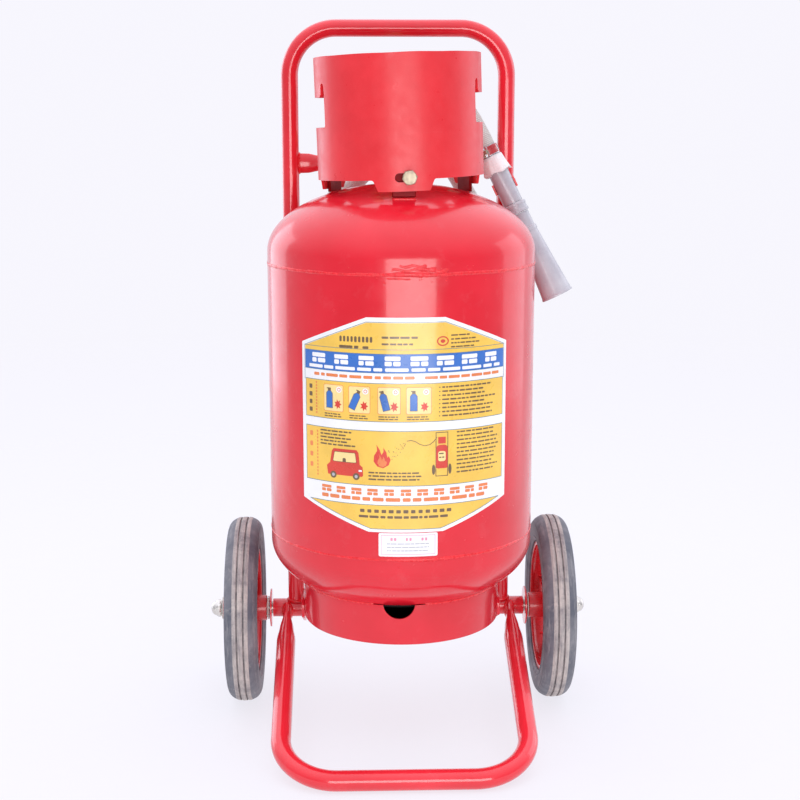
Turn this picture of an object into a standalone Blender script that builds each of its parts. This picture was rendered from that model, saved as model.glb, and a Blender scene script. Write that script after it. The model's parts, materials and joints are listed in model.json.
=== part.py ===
"""Wheeled dry powder fire extinguisher. Metres, +Z up, front is -Y, wheels left and right on X.

The cylinder's axis is at X = 0, Y = DY. Everything below is written about that axis and moved by DY,
so that the origin is the middle of the object's footprint.
"""
import math

import bmesh
import bpy
from mathutils import Matrix, Vector

# ------------------------------------------------------------------ driving sizes
DY = -0.0128          # the cylinder's axis, from the middle of the footprint
R = 0.166             # pressure vessel, outside
WALL = 0.0025
HEAD_H = 0.083        # 2:1 ellipsoidal heads
Z_TOP_TAN = 0.6255
Z_TOP_SEAM = 0.6115
Z_BOT_SEAM = 0.275
Z_BOT_TAN = 0.261
SEG = 48

SKIRT_R = 0.125
SKIRT_T = 0.003
SKIRT_Z0 = 0.1545
SKIRT_Z1 = 0.2056

GUARD_R = 0.1018
GUARD_T = 0.003
GUARD_Z0 = 0.716
GUARD_Z1 = 0.8615
GUARD_LEAN = math.radians(-2.0)
TAB_Z = 0.7025
BOLT_Z = 0.7185

TUBE_R = 0.011        # handle frame
HANDLE_X = 0.140
HANDLE_Y = 0.110
HANDLE_TOP = 0.911
HANDLE_BEND = 0.060

AXLE_Y = 0.110
AXLE_Z = 0.125
SLEEVE_R = 0.0125
ROD_R = 0.008

FOOT_R = 0.0125
FOOT_X = 0.152
FOOT_Y = -0.197
FOOT_BEND = 0.070

WHEEL_R = 0.125
TYRE_X0 = 0.188
TYRE_X1 = 0.231
RIM_R = 0.088
HUB_R = 0.0173

HOSE_R = 0.012
OUTLET_Z = 0.757
COIL_Y = (0.187, 0.211)
COIL_RADII = (0.128, 0.152)
COIL_Z = 0.434

NOZ_A = Vector((0.1155, 0.086, 0.7440))
NOZ_B = Vector((0.2058, 0.063, 0.5598))

# ------------------------------------------------------------------ scene
for old in list(bpy.data.objects):
    bpy.data.objects.remove(old, do_unlink=True)
for old in list(bpy.data.meshes) + list(bpy.data.curves):
    (bpy.data.meshes if isinstance(old, bpy.types.Mesh) else bpy.data.curves).remove(old)

parts = bpy.data.collections.new("parts")
cutters = bpy.data.collections.new("cutters")
bpy.context.scene.collection.children.link(parts)
bpy.context.scene.collection.children.link(cutters)
AXIS = bpy.data.objects.new("cylinder_axis", None)
AXIS.location = (0, DY, 0)
AXIS.empty_display_size = 0.1
bpy.context.scene.collection.objects.link(AXIS)

MATS = {}


def mat(name, colour, rough, metal=0.0):
    m = bpy.data.materials.new(name)
    m.use_nodes = True
    b = m.node_tree.nodes["Principled BSDF"]
    b.inputs["Base Color"].default_value = (*colour, 1)
    b.inputs["Roughness"].default_value = rough
    b.inputs["Metallic"].default_value = metal
    m.diffuse_color = (*colour, 1)
    MATS[name] = m
    return m


mat("red_paint", (0.62, 0.012, 0.02), 0.22)
mat("guard_paint", (0.42, 0.01, 0.015), 0.35)
mat("zinc", (0.72, 0.70, 0.64), 0.32, 1.0)
mat("brass", (0.78, 0.56, 0.24), 0.28, 1.0)
mat("steel", (0.62, 0.62, 0.64), 0.25, 1.0)
mat("rubber", (0.12, 0.125, 0.135), 0.75)
mat("nylon", (0.85, 0.84, 0.8), 0.5)
mat("canvas", (0.86, 0.85, 0.82), 0.85)
mat("grey_plastic", (0.13, 0.12, 0.15), 0.38)
mat("black_plastic", (0.02, 0.02, 0.022), 0.4)
mat("yellow_label", (0.9, 0.62, 0.12), 0.35)
mat("white_label", (0.9, 0.9, 0.9), 0.35)
mat("glass", (0.9, 0.93, 0.95), 0.05)
mat("powder", (0.85, 0.8, 0.68), 0.95)


def place(o, material=None, cutter=False, loc=None, rot=None, follow=True):
    """Puts an object in its collection, with its material, under the cylinder's axis."""
    for c in list(o.users_collection):
        c.objects.unlink(o)
    (cutters if cutter else parts).objects.link(o)
    if follow:
        o.parent = AXIS
    if loc is not None:
        o.location = loc
    if rot is not None:
        o.rotation_euler = rot
    if cutter:
        o.hide_render = True
        o.display_type = "WIRE"
    elif material:
        o.data.materials.clear()
        o.data.materials.append(MATS[material])
    return o


def lathe(name, profile, material=None, segs=SEG, loc=(0, 0, 0), rot=(0, 0, 0), closed=False, cutter=False):
    """A turned shape: the profile (radius, height) is turned to run down its outer side; closed joins its ends, for a ring."""
    area = sum(a[0] * b[1] - b[0] * a[1] for a, b in zip(profile, profile[1:] + profile[:1]))
    profile = profile[::-1] if area > 0 else profile
    me = bpy.data.meshes.new(name)
    bm = bmesh.new()
    vs = [bm.verts.new((r, 0, z)) for r, z in profile]
    for a, b in zip(vs, vs[1:]):
        bm.edges.new((a, b))
    if closed:
        bm.edges.new((vs[-1], vs[0]))
    bm.to_mesh(me)
    bm.free()
    o = bpy.data.objects.new(name, me)
    bpy.context.scene.collection.objects.link(o)
    s = o.modifiers.new("Turn", "SCREW")
    s.axis = "Z"
    s.angle = math.tau
    s.steps = segs
    s.render_steps = segs
    s.use_merge_vertices = True
    s.merge_threshold = 0.00005
    s.use_normal_calculate = False
    s.use_smooth_shade = True
    return place(o, material, cutter, loc, rot)


def apply_mods(o):
    """The modelled shape as a plain mesh, its normals facing out."""
    bpy.context.view_layer.update()
    g = bpy.context.evaluated_depsgraph_get()
    me = bpy.data.meshes.new_from_object(o.evaluated_get(g))
    bm = bmesh.new()
    bm.from_mesh(me)
    bmesh.ops.remove_doubles(bm, verts=bm.verts, dist=1e-6)
    bmesh.ops.recalc_face_normals(bm, faces=bm.faces)
    bm.to_mesh(me)
    bm.free()
    name, col = o.name, o.users_collection[0]
    world = o.matrix_world.copy()
    materials = [s.material for s in o.material_slots]
    hidden = o.hide_render
    bpy.data.objects.remove(o, do_unlink=True)
    n = bpy.data.objects.new(name, me)
    me.name = name
    col.objects.link(n)
    n.parent = AXIS
    n.matrix_world = world
    me.materials.clear()
    for m in materials:
        me.materials.append(m)
    n.hide_render = hidden
    if hidden:
        n.display_type = "WIRE"
    return n


def box(name, size, loc, material=None, rot=(0, 0, 0), bevel=0.0, cutter=False):
    bpy.ops.mesh.primitive_cube_add(size=1)
    o = bpy.context.object
    o.name = name
    o.data.name = name
    o.data.transform(Matrix.Diagonal((*size, 1)))
    if bevel:
        b = o.modifiers.new("Edge", "BEVEL")
        b.width = bevel
        b.segments = 1
    return place(o, material, cutter, loc, rot)


def rod(name, r, length, loc, axis="Z", material=None, segs=20, cutter=False, bevel=0.0, r2=None, sides=None):
    """A cylinder, or a cone with r2, about X, Y or Z."""
    rot = {"Z": (0, 0, 0), "X": (0, math.pi / 2, 0), "Y": (-math.pi / 2, 0, 0)}[axis]
    if r2 is None:
        bpy.ops.mesh.primitive_cylinder_add(vertices=sides or segs, radius=r, depth=length)
    else:
        bpy.ops.mesh.primitive_cone_add(vertices=sides or segs, radius1=r, radius2=r2, depth=length)
    o = bpy.context.object
    o.name = name
    o.data.name = name
    if bevel:
        b = o.modifiers.new("Edge", "BEVEL")
        b.width = bevel
        b.segments = 1
        b.limit_method = "ANGLE"
        b.angle_limit = math.radians(50)
    return place(o, material, cutter, loc, rot)


def boolean(o, other, op="DIFFERENCE"):
    m = o.modifiers.new(op.title(), "BOOLEAN")
    m.operation = op
    m.solver = "EXACT"
    m.object = other
    return m


def outline(name, pts, depth, material=None, loc=(0, 0, 0), rot=(0, 0, 0), cutter=False, bevel=0.0):
    """A flat outline in XY, extruded along Z by depth, centred."""
    cu = bpy.data.curves.new(name, "CURVE")
    cu.dimensions = "2D"
    cu.fill_mode = "BOTH"
    cu.extrude = depth / 2
    sp = cu.splines.new("POLY")
    sp.points.add(len(pts) - 1)
    for p, (x, y) in zip(sp.points, pts):
        p.co = (x, y, 0, 1)
    sp.use_cyclic_u = True
    o = bpy.data.objects.new(name, cu)
    bpy.context.scene.collection.objects.link(o)
    place(o, material, cutter, loc, rot)
    n = apply_mods(o)
    if bevel:
        b = n.modifiers.new("Edge", "BEVEL")
        b.width = bevel
        b.segments = 1
        b.limit_method = "ANGLE"
        b.angle_limit = math.radians(50)
    return n


def rounded(pts, radius, steps=6):
    """A polyline with its inner corners turned into arcs."""
    pts = [Vector(p) for p in pts]
    out = [pts[0]]
    for a, b, c in zip(pts, pts[1:], pts[2:]):
        u, v = (a - b).normalized(), (c - b).normalized()
        half = u.angle(v) / 2
        t = radius / math.tan(half)
        centre = b + (u + v).normalized() * (radius / math.sin(half))
        p, q = b + u * t - centre, b + v * t - centre
        total = p.angle(q)
        axis = p.cross(q).normalized()
        for i in range(steps + 1):
            out.append(centre + Matrix.Rotation(total * i / steps, 3, axis) @ p)
    out.append(pts[-1])
    return out


def smooth(ctrl, step=0.02):
    """A Catmull-Rom curve through the control points, at about even spacing."""
    c = [Vector(p) for p in ctrl]
    c = [c[0] * 2 - c[1]] + c + [c[-1] * 2 - c[-2]]
    out = []
    for i in range(1, len(c) - 2):
        p0, p1, p2, p3 = c[i - 1 : i + 3]
        n = max(2, round((p2 - p1).length / step))
        for k in range(n):
            t = k / n
            out.append(
                0.5 * (2 * p1 + (p2 - p0) * t + (2 * p0 - 5 * p1 + 4 * p2 - p3) * t * t + (3 * p1 - p0 - 3 * p2 + p3) * t**3)
            )
    out.append(c[-2])
    return out


def pipe(name, pts, radius, material, around=3, cutter=False):
    """A round bar or tube's outside along points, as a bevelled curve with filled ends."""
    cu = bpy.data.curves.new(name, "CURVE")
    cu.dimensions = "3D"
    cu.bevel_depth = radius
    cu.bevel_resolution = around
    cu.use_fill_caps = True
    cu.twist_mode = "MINIMUM"
    sp = cu.splines.new("POLY")
    sp.points.add(len(pts) - 1)
    for p, co in zip(sp.points, pts):
        p.co = (*co, 1)
    o = bpy.data.objects.new(name, cu)
    bpy.context.scene.collection.objects.link(o)
    return place(o, material, cutter)


def sweep(name, pts, sizes, material, segs=16, side=Vector((1, 0, 0))):
    """A tube whose section changes from round to flat: sizes gives (half thickness along side, half height)."""
    bm = bmesh.new()
    rings = []
    n = len(pts)
    for i, (p, (a, b)) in enumerate(zip(pts, sizes)):
        d = (pts[min(i + 1, n - 1)] - pts[max(i - 1, 0)]).normalized()
        if callable(side):
            s = side(i, d)
        else:
            s = side
        s = (s - d * s.dot(d)).normalized()
        h = d.cross(s)
        rings.append([bm.verts.new(p + s * a * math.cos(math.tau * k / segs) + h * b * math.sin(math.tau * k / segs)) for k in range(segs)])
    for r0, r1 in zip(rings, rings[1:]):
        for k in range(segs):
            bm.faces.new((r0[k], r0[(k + 1) % segs], r1[(k + 1) % segs], r1[k]))
    bm.faces.new(rings[0][::-1])
    bm.faces.new(rings[-1])
    bmesh.ops.recalc_face_normals(bm, faces=bm.faces)
    me = bpy.data.meshes.new(name)
    bm.to_mesh(me)
    bm.free()
    o = bpy.data.objects.new(name, me)
    bpy.context.scene.collection.objects.link(o)
    return place(o, material)


def head(r, a, b):
    return b * math.sqrt(max(0.0, 1 - (r / a) ** 2))


# ------------------------------------------------------------------ pressure vessel
RI = R - WALL
HI = HEAD_H - WALL
NECK_R = 0.0305


def arc_r(a, r0, n):
    """Radii from r0 out to a, even in angle, so that the ellipse stays smooth at its edge."""
    t0 = math.acos(r0 / a)
    return [a * math.cos(t0 * (1 - i / n)) for i in range(n + 1)]


top_out = [(r, Z_TOP_TAN + head(r, R, HEAD_H)) for r in arc_r(R, NECK_R, 9)]
top_in = [(r, Z_TOP_TAN + head(r, RI, HI)) for r in arc_r(RI, NECK_R, 3)][::-1]
lathe("vessel_top_head", top_out + [(R, Z_TOP_SEAM + 0.0003), (RI, Z_TOP_SEAM + 0.0003)] + top_in, "red_paint", closed=True)
lathe("vessel_body", [(R, Z_TOP_SEAM - 0.0003), (R, Z_BOT_SEAM + 0.0003), (RI, Z_BOT_SEAM + 0.0003), (RI, Z_TOP_SEAM - 0.0003)], "red_paint", closed=True)
bot_out = [(r, Z_BOT_TAN - head(r, R, HEAD_H)) for r in arc_r(R, 0.0, 8)][::-1]
bot_in = [(r, Z_BOT_TAN - head(r, RI, HI)) for r in arc_r(RI, 0.0, 3)]
lathe("vessel_bottom_head", [(R, Z_BOT_SEAM - 0.0003)] + bot_out[:-1] + [(0, Z_BOT_TAN - HEAD_H), (0, Z_BOT_TAN - HI)] + bot_in[1:] + [(RI, Z_BOT_SEAM - 0.0003), (R, Z_BOT_SEAM - 0.0003)], "red_paint")

# the charge of powder, with a hole down its middle for the dip tube
low = [(r * 0.985, Z_BOT_TAN + (z - Z_BOT_TAN) * 0.97) for r, z in bot_in[1:]]
lathe("powder_charge", [(0.012, low[0][1] + 0.0006), (0.012, 0.600), (RI * 0.985, 0.600)] + low[::-1], "powder", segs=24, closed=True)

# ------------------------------------------------------------------ base skirt with its floor plate, and the vent at the front
lathe("base_skirt", [(SKIRT_R - SKIRT_T, 0.2040), (SKIRT_R, SKIRT_Z1), (SKIRT_R, SKIRT_Z0 + 0.004), (SKIRT_R - 0.0020, SKIRT_Z0),
                     (0, SKIRT_Z0), (0, SKIRT_Z0 + 0.0030), (SKIRT_R - 0.0060, SKIRT_Z0 + 0.0030), (SKIRT_R - SKIRT_T, SKIRT_Z0 + 0.0050)], "red_paint", closed=True)
vent = rod("cut_vent", 0.0195, 0.05, (-0.0065, -0.125, 0.2075), "Y", segs=28, cutter=True)
skirt = apply_mods(bpy.data.objects["base_skirt"])
boolean(skirt, vent)

# ------------------------------------------------------------------ neck and valve
lathe("neck_boss", [(0.0165, 0.7222), (0.0285, 0.7222), (0.0298, 0.7208), (0.0298, 0.6990), (0.0165, 0.6990)], "red_paint", segs=32, closed=True)
lathe("dip_tube", [(0.0078, 0.7425), (0.0096, 0.7425), (0.0096, 0.2050), (0.0078, 0.2020)], "zinc", segs=16, closed=True)

vb = lathe("valve_body", [(0.0, 0.7880), (0.0125, 0.7880), (0.0140, 0.7865), (0.0140, 0.7770), (0.0165, 0.7755), (0.0175, 0.7740), (0.0175, 0.7400), (0.0160, 0.7330), (0.0160, 0.6900), (0.0, 0.6900)], "brass", segs=20)
vb = apply_mods(vb)
hexa = rod("add_hex", 0.0235, 0.0080, (0, 0, 0.7270), "Z", sides=6, cutter=True)
outlet = rod("add_outlet", 0.0125, 0.0580, (0, 0.0290, OUTLET_Z), "Y", segs=16, cutter=True)
port = rod("add_port", 0.0065, 0.0260, (-0.0130, 0, OUTLET_Z), "X", segs=16, cutter=True)
for add in (hexa, outlet, port):
    boolean(vb, add, "UNION")
boolean(vb, rod("cut_stem_bore", 0.0055, 0.060, (0, 0, 0.7700), "Z", segs=12, cutter=True))
boolean(vb, rod("cut_tube_bore", 0.0100, 0.060, (0, 0, 0.7150), "Z", segs=16, cutter=True))
boolean(vb, rod("cut_outlet_bore", 0.0080, 0.070, (0, 0.0350, OUTLET_Z), "Y", segs=12, cutter=True))
boolean(vb, rod("cut_port_bore", 0.0020, 0.040, (-0.0200, 0, OUTLET_Z), "X", segs=8, cutter=True))
vb = apply_mods(vb)

lathe("valve_seal", [(0.0163, 0.7225), (0.0187, 0.7225), (0.0187, 0.7228), (0.0163, 0.7228)], "rubber", segs=20, closed=True)

PIVOT = Vector((0, 0.014, 0.8065))
stem = lathe("valve_stem", [(0, 0.0), (0.0065, 0.0), (0.0075, -0.001), (0.0075, -0.004), (0.0048, -0.0045), (0.0048, -0.058), (0.0035, -0.060), (0, -0.060)], "steel", segs=20, loc=(0, 0, 0.8010))

turns = 2.5
spring_pts = [(0.0071 * math.cos(math.tau * turns * i / 25), 0.0071 * math.sin(math.tau * turns * i / 25), 0.7896 + 0.0022 * i / 25) for i in range(26)]
pipe("valve_spring", spring_pts, 0.00030, "steel", around=0)

# folded lower handle, with two cheeks that carry the lever's pin
ch = box("carry_handle", (0.0230, 0.040, 0.0024), (0, 0.004, 0.7895), "zinc")
grip = box("add_grip", (0.0230, 0.066, 0.0026), (0, -0.0465, 0.7861), rot=(math.radians(6), 0, 0), cutter=True)
grip_lip = box("add_grip_lip", (0.0230, 0.0026, 0.0080), (0, -0.0785, 0.7792), rot=(math.radians(6), 0, 0), cutter=True)
cheek_pts = [(-0.016, 0.7885), (0.022, 0.7885), (0.022, 0.8080), (0.018, 0.8135), (0.010, 0.8135), (-0.006, 0.8100), (-0.016, 0.8040)]
rotc = Matrix.Rotation(math.radians(90), 4, "Z") @ Matrix.Rotation(math.radians(90), 4, "X")
for sx in (-1, 1):
    ck = outline("add_cheek_%s" % ("l" if sx < 0 else "r"), cheek_pts, 0.0024, cutter=True, loc=(sx * 0.0103, 0, 0), rot=rotc.to_euler())
    boolean(ch, ck, "UNION")
boolean(ch, grip, "UNION")
boolean(ch, grip_lip, "UNION")
boolean(ch, rod("cut_spring_hole", 0.0086, 0.02, (0, 0, 0.7895), "Z", segs=20, cutter=True))
boolean(ch, rod("cut_pin_hole", 0.0033, 0.05, PIVOT, "X", segs=16, cutter=True))
boolean(ch, rod("cut_safety_hole", 0.0022, 0.05, (0, -0.0115, 0.7940), "X", segs=12, cutter=True))

# the lever: a knuckle on the pin, a nose over the stem, and a channel for the palm
lv = rod("squeeze_lever", 0.0062, 0.0165, PIVOT, "X", "zinc", segs=20)
lv = apply_mods(lv)
lever_pts = [(0.000, -0.0050), (-0.022, -0.0050), (-0.040, -0.0012), (-0.094, 0.0078), (-0.0975, 0.0055), (-0.099, 0.0070), (-0.0955, 0.0112), (-0.040, 0.0026), (-0.022, 0.0), (0.0, 0.0040)]
lever_bar = outline("add_lever_bar", lever_pts, 0.0165, cutter=True, loc=PIVOT, rot=rotc.to_euler())
boolean(lv, lever_bar, "UNION")
boolean(lv, rod("cut_lever_hole", 0.0033, 0.05, PIVOT, "X", segs=16, cutter=True))
lathe("lever_pin", [(0, 0.0125), (0.0045, 0.0125), (0.0052, 0.0118), (0.0052, 0.0118 - 0.0001), (0.0030, 0.01170), (0.0030, -0.0140), (0.0024, -0.0146), (0, -0.0146)], "steel", segs=16, loc=PIVOT, rot=(0, math.pi / 2, 0))

# safety pin with its pull ring
sp_pin = rod("safety_pin", 0.0016, 0.0340, (0.0030, -0.0115, 0.7940), "X", "steel", segs=12)
bpy.ops.mesh.primitive_torus_add(major_segments=16, minor_segments=6, major_radius=0.0105, minor_radius=0.0012)
ring = bpy.context.object
ring.name = "add_pull_ring"
place(ring, cutter=True, loc=(0.0300, -0.0115, 0.7940), rot=(math.radians(90), 0, 0))
sp_pin = apply_mods(sp_pin)
boolean(sp_pin, ring, "UNION")

# pressure gauge on the left port
GX = -0.0263
lathe("gauge_case", [(0.0, 0.0), (0.0060, 0.0), (0.0080, 0.0010), (0.0185, 0.0020), (0.0205, 0.0040), (0.0205, 0.0155), (0.0200, 0.0162), (0.0188, 0.0162), (0.0188, 0.0050), (0.0, 0.0050)][::-1], "brass", segs=20, loc=(GX, 0, OUTLET_Z), rot=(0, -math.pi / 2, 0))
lathe("gauge_dial", [(0.0025, 0.0062), (0.0182, 0.0062), (0.0182, 0.0054), (0.0025, 0.0054)], "white_label", segs=20, loc=(GX, 0, OUTLET_Z), rot=(0, -math.pi / 2, 0), closed=True)
needle = outline("gauge_needle", [(-0.0045, -0.0009), (0.0, -0.0016), (0.0135, -0.0002), (0.0135, 0.0002), (0.0, 0.0016), (-0.0045, 0.0009)], 0.0008, "black_plastic", loc=(GX - 0.0076, 0, OUTLET_Z), rot=(0, -math.pi / 2, 0))
hub_n = rod("add_needle_hub", 0.0021, 0.0034, (GX - 0.0069, 0, OUTLET_Z), "X", segs=12, cutter=True)
boolean(needle, hub_n, "UNION")
lathe("gauge_lens", [(0, 0.0145), (0.0120, 0.0143), (0.0184, 0.0136), (0.0184, 0.0122), (0, 0.0126)], "glass", segs=20, loc=(GX, 0, OUTLET_Z), rot=(0, -math.pi / 2, 0))

# swivel nut and ferrule on the outlet, where the hose leaves
hc = lathe("hose_coupling", [(0.0065, 0.0), (0.0150, 0.0), (0.0150, 0.0270), (0.0125, 0.0290), (0.0125, 0.0330), (0.0145, 0.0360), (0.0145, 0.0690), (0.0065, 0.0690)][::-1], "brass", segs=18, loc=(0, 0.0585, OUTLET_Z), rot=(-math.pi / 2, 0, 0), closed=True)

# ------------------------------------------------------------------ guard round the valve
GI = GUARD_R - GUARD_T
guard = lathe("guard_ring", [(GI, GUARD_Z1), (GUARD_R, GUARD_Z1), (GUARD_R, TAB_Z), (GI, TAB_Z)], "guard_paint", closed=True)
guard = apply_mods(guard)
gap_cut = apply_mods(lathe("cut_below_ring", [(0.130, GUARD_Z0), (0.130, 0.690), (0.080, 0.690), (0.080, GUARD_Z0)], segs=SEG, closed=True, cutter=True))
TABS = (-90.0, 30.0, 150.0)
for i, a in enumerate(TABS):
    ang = math.radians(a)
    turn = Matrix.Rotation(ang + math.pi / 2, 4, "Z") @ Matrix.Rotation(math.radians(90), 4, "X")
    wide = 0.0364 if i == 0 else 0.030
    narrow = 0.0306 if i == 0 else 0.024
    tab = outline("keep_tab_%d" % i, [(-wide - 0.002, GUARD_Z0 + 0.006), (wide + 0.002, GUARD_Z0 + 0.006), (wide, GUARD_Z0), (narrow, TAB_Z + 0.001), (narrow - 0.002, TAB_Z - 0.02), (-narrow + 0.002, TAB_Z - 0.02), (-narrow, TAB_Z + 0.001), (-wide, GUARD_Z0)], 0.070,
                  cutter=True, loc=(0.105 * math.cos(ang), 0.105 * math.sin(ang), 0), rot=turn.to_euler())
    boolean(gap_cut, tab)
gap_cut = apply_mods(gap_cut)
boolean(guard, gap_cut)
for i, a in enumerate(TABS):
    ang = math.radians(a)
    turn = Matrix.Rotation(ang + math.pi / 2, 4, "Z") @ Matrix.Rotation(math.radians(90), 4, "X")
    slot = []
    for k in range(9):
        t = -math.pi / 2 + math.pi * k / 8
        slot.append((0.0065 + 0.0052 * math.cos(t), 0.0053 * math.sin(t)))
    for k in range(9):
        t = math.pi / 2 + math.pi * k / 8
        slot.append((-0.0055 + 0.0052 * math.cos(t), 0.0053 * math.sin(t)))
    boolean(guard, outline("cut_slot_%d" % i, slot, 0.050, cutter=True, loc=(0.105 * math.cos(ang), 0.105 * math.sin(ang), BOLT_Z), rot=turn.to_euler()))
# side windows: a long opening with a small step up at its front end
for sx in (-1, 1):
    w = []
    y0, y1 = -0.0475, 0.0475
    w += [(y0, 0.7785 + 0.004), (y0 + 0.004, 0.7785), (y1 - 0.004, 0.7785), (y1, 0.7785 + 0.004), (y1, 0.8145 - 0.004), (y1 - 0.004, 0.8145), (y0 + 0.012, 0.8145), (y0 + 0.0095, 0.8170), (y0 + 0.0080, 0.8280), (y0 + 0.0050, 0.8310), (y0 + 0.0015, 0.8285), (y0, 0.8200)]
    boolean(guard, outline("cut_window_%s" % ("l" if sx < 0 else "r"), w, 0.060, cutter=True, loc=(sx * 0.100, 0, 0), rot=rotc.to_euler()))
# notch for the outlet at the back
nt = [(-0.024, 0.690), (0.024, 0.690), (0.024, 0.7680), (0.018, 0.7780), (0.008, 0.7830), (-0.008, 0.7830), (-0.018, 0.7780), (-0.024, 0.7680)]
boolean(guard, outline("cut_outlet_notch", nt, 0.060, cutter=True, loc=(0, 0.100, 0), rot=(math.radians(90), 0, 0)))
guard = apply_mods(guard)
lean = Matrix.Translation((0, DY, GUARD_Z0)) @ Matrix.Rotation(GUARD_LEAN, 4, "Y") @ Matrix.Translation((0, -DY, -GUARD_Z0))
guard.matrix_world = lean @ guard.matrix_world

for tag, a in (("front", -90.0), ("right", 30.0), ("left", 150.0)):
    ang = math.radians(a)
    c, s = math.cos(ang), math.sin(ang)
    spin = ang + math.pi / 2
    off = Matrix.Rotation(spin, 3, "Z") @ Vector((0.0065 if tag == "front" else 0.0, 0, -math.sin(GUARD_LEAN) * GUARD_R * c))
    lug = box("guard_lug_%s" % tag, (0.028, 0.0042, 0.0405), (0.0950 * c, 0.0950 * s, 0.71575), "red_paint", rot=(0, 0, spin), bevel=0.0008)
    hole_loc = Vector((0.100 * c, 0.100 * s, BOLT_Z)) + off
    hole = rod("cut_lug_%s" % tag, 0.0053, 0.06, hole_loc, "Y", segs=16, cutter=True)
    hole.rotation_euler = (Matrix.Rotation(spin, 4, "Z") @ Matrix.Rotation(-math.pi / 2, 4, "X")).to_euler()
    boolean(lug, hole)
    bolt = rod("guard_bolt_%s" % tag, 0.0092, 0.0064, Vector(((GUARD_R + 0.0046) * c, (GUARD_R + 0.0046) * s, BOLT_Z)) + off, "Y", "zinc", sides=6)
    bolt.rotation_euler = (Matrix.Rotation(spin, 4, "Z") @ Matrix.Rotation(-math.pi / 2, 4, "X") @ Matrix.Rotation(math.radians(10), 4, "Z")).to_euler()
    bolt = apply_mods(bolt)
    b = bolt.modifiers.new("Edge", "BEVEL")
    b.width = 0.0006
    b.segments = 1
    b.limit_method = "ANGLE"
    b.angle_limit = math.radians(50)
    bolt = apply_mods(bolt)
    sh = rod("add_shank_%s" % tag, 0.0048, 0.030, Vector(((GUARD_R + 0.0030 - 0.0150) * c, (GUARD_R + 0.0030 - 0.0150) * s, BOLT_Z)) + off, "Y", segs=16, cutter=True)
    sh.rotation_euler = (Matrix.Rotation(spin, 4, "Z") @ Matrix.Rotation(-math.pi / 2, 4, "X")).to_euler()
    boolean(bolt, sh, "UNION")

# ------------------------------------------------------------------ handle frame, brace, foot
hz = HANDLE_TOP - TUBE_R
pts = rounded([(-HANDLE_X, HANDLE_Y, AXLE_Z + SLEEVE_R + 0.0006), (-HANDLE_X, HANDLE_Y, hz), (HANDLE_X, HANDLE_Y, hz), (HANDLE_X, HANDLE_Y, AXLE_Z + SLEEVE_R + 0.0006)], HANDLE_BEND, 8)
pipe("handle_frame", pts, TUBE_R, "red_paint", around=6)

bx = HANDLE_X - TUBE_R - 0.0006
xs = [-bx, -bx + 0.010, -bx + 0.026, -bx + 0.040, bx - 0.040, bx - 0.026, bx - 0.010, bx]
flat = [(0.0050, 0.0128), (0.0052, 0.0126), (0.0072, 0.0098), (0.0082, 0.0086)]
sweep("cross_brace", [Vector((x, 0.1128, 0.7290)) for x in xs], flat + flat[::-1], "red_paint", side=Vector((0, 1, 0)))

slope_end = Vector((FOOT_X, AXLE_Y - SLEEVE_R - 0.0012, 0.1225))
bar = Vector((FOOT_X, FOOT_Y, FOOT_R + 0.0002))
p = rounded([slope_end, bar, (-FOOT_X, bar.y, bar.z), (-slope_end.x, slope_end.y, slope_end.z)], FOOT_BEND, 7)
d = (p[1] - p[0]).normalized()
start = [p[0], p[0] + d * 0.018, p[0] + d * 0.036, p[0] + d * 0.056]
e = (p[-2] - p[-1]).normalized()
end = [p[-1] + e * 0.056, p[-1] + e * 0.036, p[-1] + e * 0.018, p[-1]]
path = start + p[1:-1] + end
round_ = (FOOT_R, FOOT_R)
sizes = [(0.0050, 0.0185), (0.0062, 0.0170), (0.0100, 0.0142), round_] + [round_] * (len(p) - 2) + [round_, (0.0100, 0.0142), (0.0062, 0.0170), (0.0050, 0.0185)]


def foot_side(i, d):
    plane = (slope_end - bar).normalized().cross(Vector((1, 0, 0)))
    return d.cross(plane)


sweep("foot_frame", path, sizes, "red_paint", side=foot_side)

for tag, sx in (("left", -1), ("right", 1)):
    br = outline("skirt_bracket_%s" % tag, [(0.004, 0.1640), (0.012, 0.1700), (0.055, 0.1700), (0.0960, 0.1440), (0.0960, 0.1180), (0.075, 0.1180), (0.004, 0.1480)], 0.0040, "red_paint", loc=(sx * 0.1276, 0, 0), rot=rotc.to_euler(), bevel=0.0006)

# ------------------------------------------------------------------ axle and wheels
lathe("axle_sleeve", [(0.0086, 0.1720), (SLEEVE_R, 0.1720), (SLEEVE_R, -0.1720), (0.0086, -0.1720)], "red_paint", segs=20, loc=(0, AXLE_Y, AXLE_Z), rot=(0, math.pi / 2, 0), closed=True)
lathe("axle_rod", [(0, 0.2425), (ROD_R - 0.001, 0.2425), (ROD_R, 0.2415), (ROD_R, -0.2415), (ROD_R - 0.001, -0.2425), (0, -0.2425)], "zinc", segs=20, loc=(0, AXLE_Y, AXLE_Z), rot=(0, math.pi / 2, 0))

TW = TYRE_X1 - TYRE_X0
TC = (TYRE_X0 + TYRE_X1) / 2


def tyre_profile():
    h = TW / 2
    return [(0.0886, h - 0.0035), (0.0970, h), (0.1130, h - 0.0004), (0.1200, h - 0.0040), (0.1238, h - 0.0110), (WHEEL_R, 0.0050),
            (WHEEL_R, -0.0050), (0.1238, -h + 0.0110), (0.1200, -h + 0.0040), (0.1130, -h + 0.0004), (0.0970, -h), (0.0886, -h + 0.0035)]


def rim_profile():
    h = 0.0165
    return [(0.0830, h), (0.0880, h), (0.0880, -h), (0.0830, -h), (0.0826, -h + 0.003), (0.0848, -h + 0.0055), (0.0848, h - 0.0055), (0.0826, h - 0.003)]


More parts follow.
